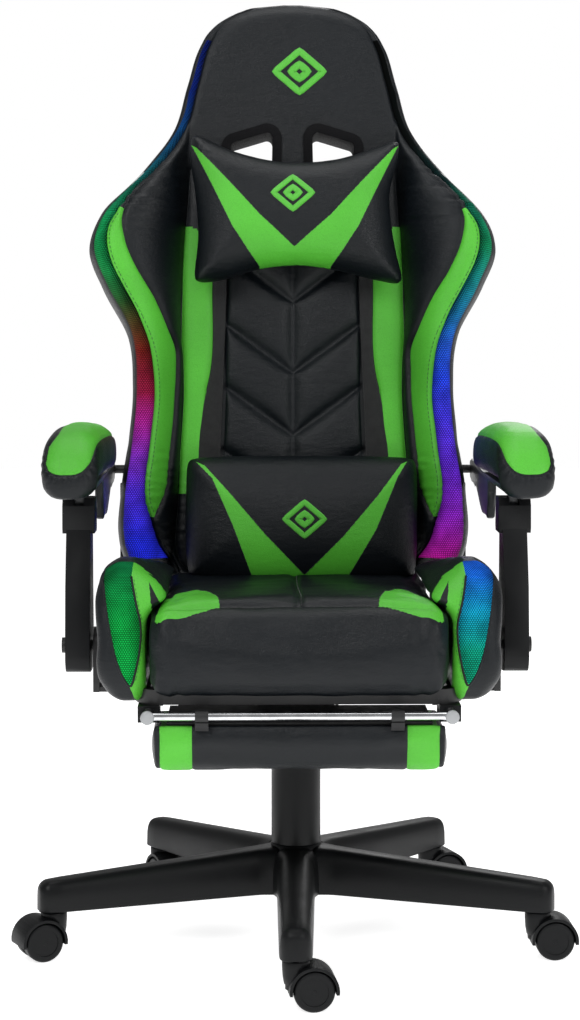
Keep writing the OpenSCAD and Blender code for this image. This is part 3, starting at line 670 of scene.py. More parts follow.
# the CAD pieces that are shown as they are
NODE_LOOKS = {
    coated_steel: "column_tube gas_cylinder mechanism_housing seat_plate seat_frame recliner_brackets arm_brackets "
                  "back_frame recliner_arms",
    zinc: "tilt_pin tension_spring seat_bolts",
    chrome: "piston_rod footrest_frame",
    bush_plastic: "guide_bush",
    nylon: "dust_cover_lower dust_cover_middle dust_cover_upper lever_pivot height_lever caster_wheels_1 "
           "caster_wheels_2 caster_wheels_3 caster_wheels_4 caster_wheels_5",
    painted_board: "footrest_board",
    diffuser: "back_led_strips seat_led_strips",
}
for look, names in NODE_LOOKS.items():
    for name in names.split():
        data = frame["nodes"][name].data
        data.materials.clear()
        data.materials.append(look)


def softened(node, body, mat, width, angle=28):
    """A copy of a CAD node with its sharp edges rounded over."""
    obj = linked(node + "_finish", frame["nodes"][node].data.copy())
    obj.data.materials.clear()
    obj.data.materials.append(mat)
    with edited(obj) as bm:
        bmesh.ops.remove_doubles(bm, verts=bm.verts, dist=1e-6)
        bmesh.ops.dissolve_limit(bm, angle_limit=radians(1), verts=bm.verts, edges=bm.edges)
    bevel = obj.modifiers.new("bevel", "BEVEL")
    bevel.width, bevel.segments = width, 3
    bevel.limit_method, bevel.angle_limit = "ANGLE", radians(angle)
    bevel.use_clamp_overlap = True
    bevel.harden_normals = True
    for p in obj.data.polygons:
        p.use_smooth = True
    assign(apply_modifiers(obj), body, [node])


# ---------- soft blocks and pillows

def curve_mm(*knots):
    """A smooth function in metres through knots in millimetres."""
    f = hermite(knots)
    return lambda v: f(np.asarray(v, float) * 1000) / 1000


def closed_smooth(points, step):
    """A closed curve through 2-D points in millimetres, resampled every step metres."""
    p = np.array([(q.x, q.y) for q in smooth_line([(x, y, 0) for x, y in metres(points)], closed=True)])
    p = np.vstack([p, p[:1]])
    s = np.concatenate([[0], np.cumsum(np.linalg.norm(np.diff(p, axis=0), axis=1))])
    t = np.linspace(0, s[-1], int(s[-1] / step), endpoint=False)
    return np.stack([np.interp(t, s, p[:, 0]), np.interp(t, s, p[:, 1])], 1)


def distance_to(points, line):
    """Each 2-D point's distance to a closed 2-D line."""
    a, b = line, np.roll(line, -1, axis=0)
    d = b - a
    out = np.empty(len(points))
    for i in range(0, len(points), 2000):
        p = points[i:i + 2000, None]
        t = np.clip(((p - a) * d).sum(2) / np.maximum((d * d).sum(1), 1e-12), 0, 1)
        out[i:i + 2000] = np.linalg.norm(p - a - t[..., None] * d, axis=2).min(1)
    return out


def pillow(name, outline, seam_y, front, back, rounding, rings=26, power=0.55):
    """A stuffed pillow: two faces on one outline in the (x, v) plane, domed by their distance from it."""
    mid = outline.mean(0)
    n = len(outline)
    scale = 1 - dense_ends(2 * rings)[:rings + 1] * 2 * 0.999
    layers = [mid + (outline - mid) * k for k in scale]
    flat = np.concatenate(layers)
    d = distance_to(flat, outline)
    rise = (1 - (1 - np.clip(d / rounding, 0, 1)) ** 2.2) ** power
    y_front = seam_y - front * rise
    y_back = seam_y + back * rise
    verts = np.stack([flat[:, 0], y_front, flat[:, 1]], 1)
    other = np.stack([flat[n:, 0], y_back[n:], flat[n:, 1]], 1)
    m = len(layers)
    faces = ring_faces(m, n, caps=False)
    base = m * n
    for i in range(m - 1):
        for j in range(n):
            k = (j + 1) % n
            a, b = (j, k) if i == 0 else (base + (i - 1) * n + j, base + (i - 1) * n + k)
            faces.append((base + i * n + j, base + i * n + k, b, a))
    faces.append(tuple((m - 1) * n + j for j in range(n)))
    faces.append(tuple(base + (m - 2) * n + j for j in range(n)))
    return outward(new_object(name, np.concatenate([verts, other]), faces, LEATHERS))


def soft_block(name, profile, low, high, radius, mats, columns, caps, step, bulge=0.0):
    """A padded block: a closed (y, z) profile carried across x from low(z) to high(z), with rounded long edges."""
    line = closed_smooth(profile, step)
    n = len(line)
    low_end, high_end = line.min(0), line.max(0)
    centre, reach = (low_end + high_end) / 2, (high_end - low_end) / 2
    spine = np.maximum(reach - reach.min(), 0)
    normal = centre + np.clip(line - centre, -spine, spine) - line
    normal /= np.linalg.norm(normal, axis=1, keepdims=True)
    mid = line.mean(0)
    rings = []

    def ring(u, p, out=0.0):
        a, b = low(p[:, 1]), high(p[:, 1])
        x = (a + b) / 2 + (b - a) / 2 * u + out
        rings.append(np.stack([x, p[:, 0], p[:, 1]], 1))

    def cap(side, steps):
        for c in steps:
            k = 1 - c / caps * 0.98
            ring(side, mid + (end - mid) * k, side * bulge * (1 - k * k))

    width = float((high(line[:, 1]) - low(line[:, 1])).mean()) / 2
    end = line + normal * radius
    cap(-1, range(caps, 0, -1))
    for u in dense_ends(columns, 0.9) * 2 - 1:
        t = max(0.0, 1 - (1 - abs(u)) * width / radius)
        ring(u, line + normal * radius * (1 - sqrt(max(0.0, 1 - t * t))))
    cap(1, range(1, caps + 1))
    return outward(new_object(name, np.concatenate(rings), ring_faces(len(rings), n), mats))


def set_uv(obj, name, per_vertex):
    layer = obj.data.uv_layers.new(name=name)
    index = np.empty(len(obj.data.loops), np.int32)
    obj.data.loops.foreach_get("vertex_index", index)
    layer.data.foreach_set("uv", np.asarray(per_vertex, np.float32)[index].ravel())


def hull_2d(points):
    pts = sorted(map(tuple, points))
    out = []
    for seq in (pts, pts[::-1]):
        half = []
        for p in seq:
            while len(half) > 1 and ((half[-1][0] - half[-2][0]) * (p[1] - half[-2][1])
                                     - (half[-1][1] - half[-2][1]) * (p[0] - half[-2][0])) <= 0:
                half.pop()
            half.append(p)
        out += half[:-1]
    return out


def rounded_polygon(corners, r):
    return hull_2d([(x + u, y + v) for x, y in corners for u, v in circle(r, 24)])


# ---------- the back's cover

PANEL_Y, REAR_Y = -0.030, 0.037  # the front of the middle panel, and the rear
# curves over the height v, as (v, value) knots in millimetres: outlines, seams and the depth of the wings
edge = curve_mm((32, 188), (40, 208), (52, 230), (70, 240), (90, 244), (150, 241), (230, 230), (300, 225), (370, 232),
                (440, 268), (490, 286), (540, 270), (600, 215), (660, 170), (730, 148), (785, 130), (805, 118),
                (822, 98),
                (834, 72), (841, 44), (845, 4))
foot = curve_mm((32, 172), (52, 172), (150, 163), (300, 158), (420, 156), (520, 150), (600, 146), (645, 146),
                (845, 140))
depth = curve_mm((40, 0), (52, 30), (100, 58), (150, 66), (300, 62), (400, 70), (490, 78), (560, 60), (610, 34),
                 (645, 12),
                 (680, 0), (845, 0))
ridge = curve_mm((32, 20), (100, 20), (300, 19), (490, 37), (560, 34), (610, 30), (645, 28), (845, 28))
quilt_edge = curve_mm((32, 108), (205, 101), (452, 92), (560, 90), (640, 80))
strip_in = curve_mm((32, 158), (150, 154), (183, 146), (225, 136), (282, 125), (317, 117), (443, 113), (520, 112),
                    (640, 108))
strip_out = curve_mm((32, 170), (159, 160), (300, 157), (420, 155), (520, 150), (640, 140))
stripe_in = curve_mm((32, 155), (50, 163), (80, 183), (115, 193), (128, 187), (154, 177), (196, 172), (252, 167),
                     (322, 163), (353, 164), (378, 173), (420, 191), (459, 215), (497, 231), (542, 234), (600, 192),
                     (660, 148),
                     (730, 126), (845, 120))
stripe_out = curve_mm((32, 160), (50, 167), (80, 186), (115, 196), (140, 203), (168, 203), (196, 199), (238, 194),
                      (280, 190),
                      (315, 191), (357, 198), (395, 214), (434, 235), (469, 252), (490, 257), (515, 256), (543, 240),
                      (600, 200),
                      (660, 156), (730, 134), (845, 126))
APEXES = (0.140, 0.232, 0.320, 0.420, 0.510)
SLOPE = radians(36)
GREEN_STRIPE = (0.115, 0.541)
GREEN_STRIP = (0.150, 0.520)
REAR_ROUND, REAR_COLUMNS = 0.018, 36


def back_cover():
    """One closed skin: a grid of rows v and columns x over the front, then the sides and the rear."""
    v = np.concatenate([np.linspace(0.032, 0.052, 8)[:-1], np.arange(0.052, 0.56, 0.0028),
                        np.linspace(0.56, 0.79, 58)[:-1],
                        0.79 + 0.0544 * np.sin(np.linspace(0, PI / 2, 24))])
    e = edge(v)
    limits = [quilt_edge(v), strip_in(v), strip_out(v), stripe_in(v), stripe_out(v), e - 0.006]
    above_wing = smoothstep(v, 0.56, 0.62)
    tip = smoothstep(v, 0.500, 0.541)
    shares = [0.42, 0.54, 0.68, (0.84 + 0.072 * tip) * (1 - above_wing) + 0.80 * above_wing, 0.92 - 0.02 * above_wing,
              0.965]
    bands = [np.zeros_like(v)] + [np.minimum(b, s * e) for b, s in zip(limits, shares)] + [e]
    counts = [28, 7, 9, 10, 12, 14, 7]
    half, kind, share = [np.zeros_like(v)], [], [0.0]
    for k, n in enumerate(counts):
        for s in dense_ends(n)[1:]:
            half.append(bands[k] + (bands[k + 1] - bands[k]) * s)
            kind.append(k)
            share.append(float(s))
    half = np.stack(half, 1)
    x = np.concatenate([-half[:, :0:-1], half], 1)
    kinds = np.array(kind[::-1] + kind)
    rows, cols = x.shape
    vv = np.repeat(v[:, None], cols, 1)
    a = np.abs(x)
    outline = np.concatenate([np.stack([e, v], 1), np.stack([-e[::-1], v[::-1]], 1)])
    flat = np.stack([x.ravel(), vv.ravel()], 1)
    dist = np.minimum(distance_to(flat, outline).reshape(rows, cols), e[:, None] - a)
    dist = np.where(vv < 0.08, e[:, None] - a, dist)  # the bottom edge isn't part of the side outline
    recliner = smoothstep(v, 0.050, 0.060) * (1 - smoothstep(v, 0.203, 0.222))
    drop = 0.026 - 0.020 * recliner
    u = np.clip((a - foot(vv)) / np.maximum(edge(vv) - ridge(vv) - foot(vv), 0.004), 0, 1)
    wing = depth(vv) * (1 - (1 - u) ** 1.9) * (v > 0.041)[:, None]
    g = np.clip(ridge(vv), 0.001, None)
    t = np.clip(1 - dist / g, 0, 1)
    rise = (wing + drop[:, None]) * np.sqrt(1 - t * t) - drop[:, None]
    hem = np.clip(1 - (vv - 0.032) / 0.012, 0, 1)
    y = PANEL_Y - rise + 0.012 * (1 - np.sqrt(1 - hem * hem))
    p = np.stack([x, y, vv], 2)
    arc = np.concatenate([np.zeros((rows, 1)), np.cumsum(np.linalg.norm(np.diff(p, axis=1), axis=2), 1)], 1)
    c = cols // 2
    arc = arc - arc[:, c:c + 1]
    # swelling of each panel between its seams, and the grooves of the seams
    starts = np.cumsum([0] + counts)
    height = np.zeros_like(a)
    puff = [0, 0.0006, 0.003, 0.0045, 0.0026, 0.0022, 0.0013]
    for k in range(1, 7):
        for side in (-1, 1):
            lo, hi = sorted((c + side * starts[k], c + side * starts[k + 1]))
            s0, s1 = arc[:, lo:lo + 1], arc[:, hi:hi + 1]
            s = (arc[:, lo:hi + 1] - s0) / np.maximum(s1 - s0, 1e-6)
            rise_k = puff[k] * (1 - np.abs(2 * s - 1) ** 2.6)
            if k < 5:
                rise_k = rise_k * (1 - smoothstep(vv[:, lo:hi + 1], 0.55, 0.61))
            height[:, lo:hi + 1] = np.maximum(height[:, lo:hi + 1], rise_k)
    seams = {1: (0.055, 0.60, 0.003), 2: (0.150, 0.522, 0.0018), 3: (0.06, 0.62, 0.0018), 4: (0.115, 0.542, 0.0022),
             5: (0.05, 0.80, 0.0024), 6: (0.05, 0.83, 0.0016)}
    for k, (v0, v1, deep) in seams.items():
        on = smoothstep(v, v0 - 0.006, v0 + 0.006) * (1 - smoothstep(v, v1 - 0.006, v1 + 0.006))
        for side in (-1, 1):
            i = c + side * starts[k]
            height -= deep * on[:, None] * np.exp(-((arc - arc[:, i:i + 1]) / 0.0021) ** 2)
    # the quilted middle: pads between the V seams, the centre seam and the straps
    q = vv - a * tan(SLOPE)
    near = np.min([np.abs(q - apex) * cos(SLOPE) for apex in APEXES], axis=0)
    sides = np.minimum(a, quilt_edge(vv) - a)
    inside = (a < quilt_edge(vv)) & (vv > 0.05) & (vv < 0.59)
    centre = np.where(vv > 0.508, 0.05, a)
    pack = sum(1 / np.clip(d, 2e-4, 1) ** 3 for d in (near, sides + 0.004, centre)) ** (-1 / 3)
    pad = 0.0085 * (1 - np.exp(-(np.clip(pack - 0.0012, 0,
                                         1) / 0.0085) ** 1.3)) - 0.0028 * np.exp(-(near / 0.0022) ** 2)
    fade = smoothstep(vv, 0.05, 0.09) * (1 - smoothstep(vv, 0.575, 0.59)) * smoothstep(quilt_edge(vv) - a, -0.0005,
                                                                                       0.002)
    height += np.where(inside, pad * fade, 0)
    # creases where the wings bend, and a little unevenness everywhere
    co = p.reshape(-1, 3)
    height += 0.0005 * wobble(co, 0.06, 5).reshape(a.shape)
    crease = wobble(co * np.array([1.0, 1.0, 3.4]), 0.045, 9).reshape(a.shape)
    where = smoothstep(vv, 0.49, 0.55) * (1 - smoothstep(vv, 0.60, 0.66)) * smoothstep(a, 0.14, 0.17)
    low_end = smoothstep(vv, 0.06, 0.10) * (1 - smoothstep(vv, 0.16, 0.24)) * smoothstep(a, 0.12, 0.16)
    height += ((0.0017 * where + 0.0012 * low_end) * np.abs(crease) ** 1.5 * np.sign(crease)
               * smoothstep(dist, 0.004, 0.02))
    du, dv = np.gradient(p, axis=1), np.gradient(p, axis=0)
    nrm = np.cross(du, dv)
    nrm /= np.linalg.norm(nrm, axis=2, keepdims=True) + 1e-12
    nrm *= np.where(nrm[..., 1:2] > 0, -1, 1)
    p = p + nrm * height[..., None] * smoothstep(dist, 0.0, 0.003)[..., None] * smoothstep(vv, 0.032, 0.05)[..., None]
    # the sides and the rear
    er = e + (np.minimum(e, 0.2205) - e) * recliner
    y_edge = p[:, -1, 1]
    side = []
    for i in range(1, 7):
        f = i / 7
        xe = e + (er - e) * smoothstep(f, 0.0, 0.22)
        side.append(np.stack([xe, y_edge + (REAR_Y - REAR_ROUND - y_edge) * f, v], 1))
    side = np.stack(side, 1)
    across = REAR_COLUMNS + 1
    xr = er[:, None] * -(dense_ends(REAR_COLUMNS, 0.96) * 2 - 1)[None]
    dr = np.minimum(distance_to(np.stack([xr.ravel(), np.repeat(v, across)], 1), outline).reshape(rows, across),
                    er[:, None] - np.abs(xr))
    dr = np.where(v[:, None] < 0.08, er[:, None] - np.abs(xr), dr)
    tr = np.clip(1 - dr / REAR_ROUND, 0, 1)
    yr = REAR_Y - REAR_ROUND + REAR_ROUND * np.sqrt(1 - tr * tr) - 0.012 * (1 - np.sqrt(1 - hem[:, :1] ** 2))
    rear = np.stack([xr, yr, np.repeat(v[:, None], across, 1)], 2)
    rear[..., 1] += 0.0005 * wobble(rear.reshape(-1, 3), 0.09, 3).reshape(rows, across)
    mirror = side[:, ::-1] * np.array([-1, 1, 1])
    full = np.concatenate([p, side, rear, mirror], 1)
    n = full.shape[1]
    faces = ring_faces(rows, n)
    index = np.zeros(len(faces), int)
    vm = (v[1:] + v[:-1]) / 2
    for i in range(rows - 1):
        for j in range(cols - 1):
            k = kinds[j]
            m = 0
            if k == 4 and GREEN_STRIPE[0] < vm[i] < GREEN_STRIPE[1]:
                m = 1
            elif k == 2:
                xm = abs(x[i, j] + x[i, j + 1]) / 2
                if GREEN_STRIP[0] < vm[i] < 0.513 + 0.014 * (xm - 0.112) / 0.04:
                    m = 1
            elif k == 1 and vm[i] < 0.6:
                m = 2
            elif k == 5 and 0.060 < vm[i] < 0.79:
                m = 4 if j >= c else 3
            index[i * n + j] = m
    obj = outward(new_object("back_cover", full.reshape(-1, 3), faces,
                             [black_leather, green_leather, dark_leather, mesh_right, mesh_left], index))
    weave = np.zeros((rows, n, 2))
    weave[:, :cols, 0] = arc
    weave[..., 1] = v[:, None]
    band = np.zeros((rows, n, 2))
    for s in (-1, 1):
        i0, i1 = c + s * starts[5], c + s * starts[6]
        r = (arc - arc[:, i0:i0 + 1]) / (arc[:, i1:i1 + 1] - arc[:, i0:i0 + 1])
        sel = slice(c, cols) if s > 0 else slice(0, c)
        band[:, :cols, 0][:, sel] = np.clip(r[:, sel], 0, 1)
    band[..., 1] = (v / 0.845)[:, None]
    set_uv(obj, "weave", weave.reshape(-1, 2))
    set_uv(obj, "band", band.reshape(-1, 2))
    return obj


HOLE = [(0.036, 0.650), (0.079, 0.637), (0.074, 0.610), (0.037, 0.606)]
HOLE_ROUND = 0.018
cover = back_cover()
for sign in SIDES.values():
    rim = rounded_polygon([(sign * x, v) for x, v in HOLE], HOLE_ROUND)
    cutter = outward(new_object("cutter", [(x, y, v) for y in (-0.2, 0.2) for x, v in rim], ring_faces(2, len(rim)),
                                [hole_wall_painted_shade]))
    boolean = cover.modifiers.new("hole", "BOOLEAN")
    boolean.operation, boolean.solver, boolean.object = "DIFFERENCE", "MANIFOLD", cutter
    # the cut walls take the cutter's darker leather, painted shade inside the hole
    boolean.material_mode = "TRANSFER"
    apply_modifiers(cover)
    bpy.data.objects.remove(cutter)
front_face = Surface(cover)


def back_line(points):
    return facing_line(points, y=-0.3)


for name, sign in SIDES.items():
    inset = [(sign * (float(stripe_out(r / 1000)) * 1000 - 5), r) for r in np.arange(120, 540, 6)]
    stitches(f"stripe_stitching_{name}", front_face, back_line(inset), dark_green_thread, "backrest", BACK,
             0.006, 0.0042, 0.00055)
place(cover, BACK)
assign(cover, "backrest",
       ["back_cushion", "head_cushion", "back_wing_left", "back_wing_right", "back_led_mesh"])
softened("belt_bezels", "backrest", bezel_plastic, 0.0014, 20)

BAND_THICK = 0.0016
# across a flat band: (share of its width, lift in thicknesses)
BAND_LIFTS = ((0, -0.6), (0, 0.5), (0.06, 0.95), (0.5, 1.15), (0.94, 0.95), (1, 0.5), (1, -0.6))


def flat_band(inner, outer, y, v0, v1, steps):
    """A flat band between the curves x = inner(v) and x = outer(v), with its face at y."""
    toward = copysign(BAND_THICK, y)
    verts = []
    for v in np.linspace(v0, v1, steps):
        a, b = float(inner(v)), float(outer(v))
        verts += [(a + (b - a) * s, y + toward * lift, v) for s, lift in BAND_LIFTS]
    return place(outward(new_object("strap", verts, ring_faces(steps, len(BAND_LIFTS)), [elastic])), BACK)


def rear_band_x(v, foot_x):
    return foot_x - (v - 0.046) * 0.0640


straps = []
for sign in SIDES.values():
    straps += [flat_band(lambda v: sign * (quilt_edge(v) + 0.0012),
                         lambda v: sign * (min(strip_in(v), 0.1445) - 0.0012),
                         PANEL_Y - 0.0006, 0.045, 0.585, 90),
               flat_band(lambda v: sign * rear_band_x(v, 0.0960), lambda v: sign * rear_band_x(v, 0.1195),
                         REAR_Y + 0.0008, 0.046, 0.578, 30)]
assign(joined("lumbar_strap_bands", straps), "backrest", ["lumbar_straps"])


def emblem(prefix, surface, centre, size, body):
    """A plain stitched diamond inside a diamond ring."""
    x0, v0 = centre
    for part, k, width in (("ring", 1.0, 0.28), ("heart", 0.36, 0.30)):
        line = [(x0 + size * k * cos(q), -0.6, v0 + size * k * 0.86 * sin(q))
                for q in (0, PI / 2, PI, 3 * PI / 2)]
        hits = [surface.hit(p) for p in resample(line, 0.0035, closed=True)]
        obj = sweep(f"{prefix}_{part}", [h[0] for h in hits], [h[1] for h in hits],
                    band_section(size * width, 0.0012, 0.0012, 0.0015), [satin_stitch], closed=True)
        assign(place(obj, surface.frame), body)


emblem("head_emblem", Surface(cover, BACK), (0.010, 0.745), 0.034, "backrest")


# ---------- pillows


def stuffed(node, prefix, body, outline, seam_y, sizes, marks, parts, emblem_at):
    """A pillow with a green V, the stitching along it, and an emblem. parts names slices of each mark's points."""
    obj = pillow(f"{node}_cover", closed_smooth(outline, 0.006), seam_y, *sizes)
    swell(obj, 4.0, 0.010, 0.005, lambda co: np.abs(co[:, 1] - seam_y) < 0.0045)
    subdivided(obj)
    for mark in marks:
        cut_region(obj, metres(mark), 1)
    face = Surface(obj)
    for tag, mark in zip("ab", marks):
        for part, piece in parts.items():
            stitches(f"{prefix}_stitching_{part}_{tag}", face, back_line(mark[piece]), black_thread, body, BACK)
    place(obj, BACK)
    assign(obj, body, [node])
    emblem(f"{prefix}_emblem", Surface(obj, BACK), emblem_at, 0.027, body)


HEAD_OUTLINE = [(-142, 632), (-132, 638), (-85, 618), (-33, 605), (8, 602), (63, 607), (120, 624), (139, 631),
                (148, 625),
                (141, 590), (134, 560), (136, 520), (143, 480), (151, 446), (142, 439), (107, 445), (63, 456),
                (8, 463),
                (-47, 458), (-88, 446), (-124, 440), (-137, 446), (-134, 480), (-132, 510), (-136, 560), (-143, 606)]
HEAD_V = [(-141, 630), (-112, 572), (-84, 514), (-62, 481), (-47, 462), (-44, 440), (1, 440), (1, 487), (-46, 530),
          (-90, 578), (-133, 624)]
HEAD_V_RIGHT = [(x if x == 1 else 5 - x, v) for x, v in HEAD_V]
LUMBAR_OUTLINE = [(-147, 188), (-138, 197), (-90, 200), (10, 201), (110, 200), (160, 197), (169, 187), (171, 150),
                  (171, 110),
                  (170, 70), (167, 38), (157, 28), (110, 25), (10, 24), (-90, 25), (-136, 28), (-145, 38), (-149, 70),
                  (-150, 110), (-149, 150)]
LUMBAR_V = [(-135, 192), (-112, 168), (-84, 104), (-57, 32), (-50, 18), (14, 18), (14, 36), (-40, 92), (-86, 146),
            (-122, 186)]
LUMBAR_V_RIGHT = [(156, 192), (142, 170), (112, 98), (73, 32), (66, 18), (14, 18), (14, 36), (66, 88), (112, 142),
                  (147, 188)]
stuffed("head_pillow", "head_pillow", "neck_pillow", [(x, 436 + (v - 436) * 1.035) for x, v in HEAD_OUTLINE], -0.078,
        (0.040, 0.036, 0.062), (HEAD_V, HEAD_V_RIGHT), {"inner": slice(7, None), "outer": slice(0, 5)},
        (-0.001, 0.560))
stuffed("lumbar_pillow", "lumbar", "lumbar_cushion", LUMBAR_OUTLINE, -0.080, (0.044, 0.040, 0.072),
        (LUMBAR_V, LUMBAR_V_RIGHT), {"outer": slice(0, 4), "inner": slice(6, None)}, (0.014, 0.112))


# ---------- the neck pillow's band

def flat_x(value):
    return lambda z: np.zeros_like(np.asarray(z, float)) + value


def neck_band():
    """The band round the bridge between the belt holes, and its buckle behind."""
    side = [(0.050, -0.050, 0.601), (0.058, -0.036, 0.601), (0.0625, -0.010, 0.602), (0.0632, 0.025, 0.603),
            (0.060, 0.0405, 0.603), (0.045, 0.0425, 0.603)]
    line = smooth_line([(-x, y, z) for x, y, z in side] + side[::-1], 6)
    out = []
    for a, b in zip(line, line[1:] + [line[-1]]):
        t = (b - a) if (b - a).length > 0 else (line[-1] - line[-2])
        out.append(Vector((0, 0, 1)).cross(t.normalized()).normalized())
    band = sweep("neck_band", line, out, band_section(0.013, 0.0015, 0.0, 0.001), [elastic])
    buckle = soft_block("neck_band_buckle", [(42, 594), (51, 594), (52, 600), (52, 607), (51, 613), (42, 613)],
                        flat_x(-0.017), flat_x(0.017), 0.002, [smooth_plastic], 16, 4, 0.002)
    assign(place(band, BACK), "neck_pillow", ["head_strap"])
    assign(place(buckle, BACK), "neck_pillow")


neck_band()

# ---------- the seat

# profiles of (y, z) in millimetres
SEAT_PROFILE = [(-262, 366), (-268, 376), (-272, 400), (-271, 432), (-263, 458), (-245, 473), (-205, 478),
                (-140, 474),
                (0, 464), (110, 462), (174, 466), (193, 454), (196, 400), (190, 374), (150, 371), (-60, 371),
                (-200, 370)]
SEAT_HALF = 0.1812
FRONT_SEAM = 0.232  # how far in front of the origin the seam across the cushion runs
seat = soft_block("seat_cushion_cover", SEAT_PROFILE, flat_x(-SEAT_HALF), flat_x(SEAT_HALF), 0.024,
                  LEATHERS, 60, 14, 0.006, 0.002)
swell(seat, 4.0, 0.004, 0.006,
      lambda co: (co[:, 2] < 0.376) | (co[:, 1] > 0.188) | (np.abs(co[:, 0]) > 0.1795))
subdivided(seat)


def seat_detail(obj):
    """The seams across the top, and the padding between them."""
    co = coords(obj)
    x, y, z = co.T
    top = smoothstep(z, 0.44, 0.452)
    cross = np.abs(y + FRONT_SEAM + 0.006 * (x / 0.12) ** 2)
    centre = np.where(y > -FRONT_SEAM, np.abs(x), 1.0)
    span = 1 - smoothstep(np.abs(x), 0.150, 0.168)
    groove = 0.0042 * np.exp(-(cross / 0.0045) ** 2) * span + 0.0036 * np.exp(-(centre / 0.0045) ** 2)
    roll = 0.001 * smoothstep(-y, 0.236, 0.262) * smoothstep(z, 0.40, 0.44)
    wave = 0.0009 * wobble(co, 0.10, 21) + 0.0008 * wobble(co * np.array([1, 1, 0.4]), 0.05, 22)
    fold = 0.0012 * wobble(co * np.array([2.6, 1, 1]), 0.05, 23) * smoothstep(np.abs(x), 0.11, 0.17)
    co[:, 2] -= groove * top
    co[:, 1] -= roll
    push_out(obj, co, wave + fold)


seat_detail(seat)
LEAF = [(-176, -262), (-168, -205), (-153, -112), (-143, -72), (-127, -66), (-114, -120), (-96, -238), (-112, -247),
        (-136, -256)]
for sign in SIDES.values():
    cut_region(seat, metres(LEAF, sign=sign), 1, (0, 1), lambda n: n.z > 0.25, lambda c: c.z > 0.455)
seat_top = Surface(seat, look=(0, 0, -1))


def seat_stitches(name, points, sign=1, radius=0.0004):
    stitches(f"seat_{name}", seat_top, [(x, y, 0.8) for x, y in metres(points, sign=sign)], black_thread, "seat",
             radius=radius)


for name, sign in SIDES.items():
    seat_stitches(f"leaf_stitching_{name}", LEAF[3:], sign)
seat_stitches("cross_stitching", [(-96, -240), (0, -236), (96, -240)], radius=0.0005)
seat_stitches("centre_stitching", [(3, -230), (3, 176)], radius=0.0005)
assign(seat, "seat", ["seat_cushion"])

# bolsters: a slanted flank over the cushion's edge, and a lit panel on the front. The zones' points (x, z) are in
# tenths of a millimetre
BOLSTER_PROFILE = [(158, 354), (160, 400), (160, 455), (148, 478), (112, 490), (20, 503), (-60, 512), (-125, 521),
                   (-168, 519), (-203, 506), (-231, 480), (-246, 440), (-250, 400), (-241, 368), (-215, 354),
                   (-100, 353.5),
                   (60, 353.5)]
bolster_low = curve_mm((352, 186), (440, 186), (456, 185), (470, 174), (478, 163), (486, 165), (500, 177), (512, 190),
                       (520, 196))
bolster_high = curve_mm((352, 224), (360, 231), (372, 238), (384, 244), (400, 246.5), (428, 245.5), (460, 248.5),
                        (486, 248.5),
                        (507, 242), (522, 229))
MESH_ZONE = [(2035, 5260), (2050, 5050), (1995, 4810), (1925, 4500), (1935, 4200), (2005, 3860), (2060, 3760),
             (2150, 3900),
             (2240, 4160), (2330, 4600), (2395, 5000), (2380, 5150), (2250, 5290)]
TRIM_ZONE = [(1990, 5300), (2035, 5260), (2050, 5050), (1995, 4810), (1925, 4500), (1935, 4200), (2005, 3860),
             (2060, 3760),
             (2010, 3600), (1900, 3480), (1800, 3480), (1765, 3944), (1765, 4500), (1835, 4990), (1670, 4720),
             (1590, 4700),
             (1580, 4850), (1690, 5050), (1880, 5270)]
TENTHS = 10000
for name, sign in SIDES.items():
    low, high = (bolster_low, bolster_high) if sign > 0 else (lambda z: -bolster_high(z), lambda z: -bolster_low(z))
    block = soft_block(f"seat_bolster_cover_{name}", BOLSTER_PROFILE, low, high, 0.017,
                       [*LEATHERS, seat_mesh_left if sign > 0 else seat_mesh_right], 40, 18, 0.005)
    co = coords(block)
    push_out(block, co, 0.0010 * wobble(co, 0.07, 31 + sign))
    for zone, index in ((TRIM_ZONE, 1), (MESH_ZONE, 2)):
        cut_region(block, metres(zone, TENTHS, sign), index, facing=lambda n: n.y < -0.02,
                   where=lambda c: c.y < -0.168)
    subdivided(block)
    # the weave runs along the profile
    co = coords(block)
    run = closed_smooth(BOLSTER_PROFILE, 0.004)
    run_at = np.concatenate([[0], np.cumsum(np.linalg.norm(np.diff(run, axis=0), axis=1))])
    nearest = np.argmin(np.abs(co[:, None, 1] - run[None, :, 0]) + np.abs(co[:, None, 2] - run[None, :, 1]), axis=1)
    step = np.roll(run, -1, axis=0)[nearest] - run[nearest]
    step /= np.linalg.norm(step, axis=1, keepdims=True)
    set_uv(block, "weave", np.stack([co[:, 0], run_at[nearest] + ((co[:, 1:] - run[nearest]) * step).sum(1)], 1))
    set_uv(block, "band", np.stack([np.clip((np.abs(co[:, 0]) - 0.190) / 0.052, 0.02, 0.98),
                                    np.clip((co[:, 2] - 0.37) / 0.16, 0, 1)], 1))
    face = Surface(block)
    piping(f"bolster_piping_{name}", face, facing_line(MESH_ZONE[1:11], TENTHS, sign), 0.0016, "seat")
    inset = [(x - 28, z) for x, z in MESH_ZONE[1:7]]
    stitches(f"bolster_stitching_{name}", face, facing_line(inset, TENTHS, sign), dark_green_thread, "seat")
    assign(block, "seat", [f"seat_bolster_{name}"] + (["seat_led_mesh"] if sign > 0 else []))

# ---------- armrests

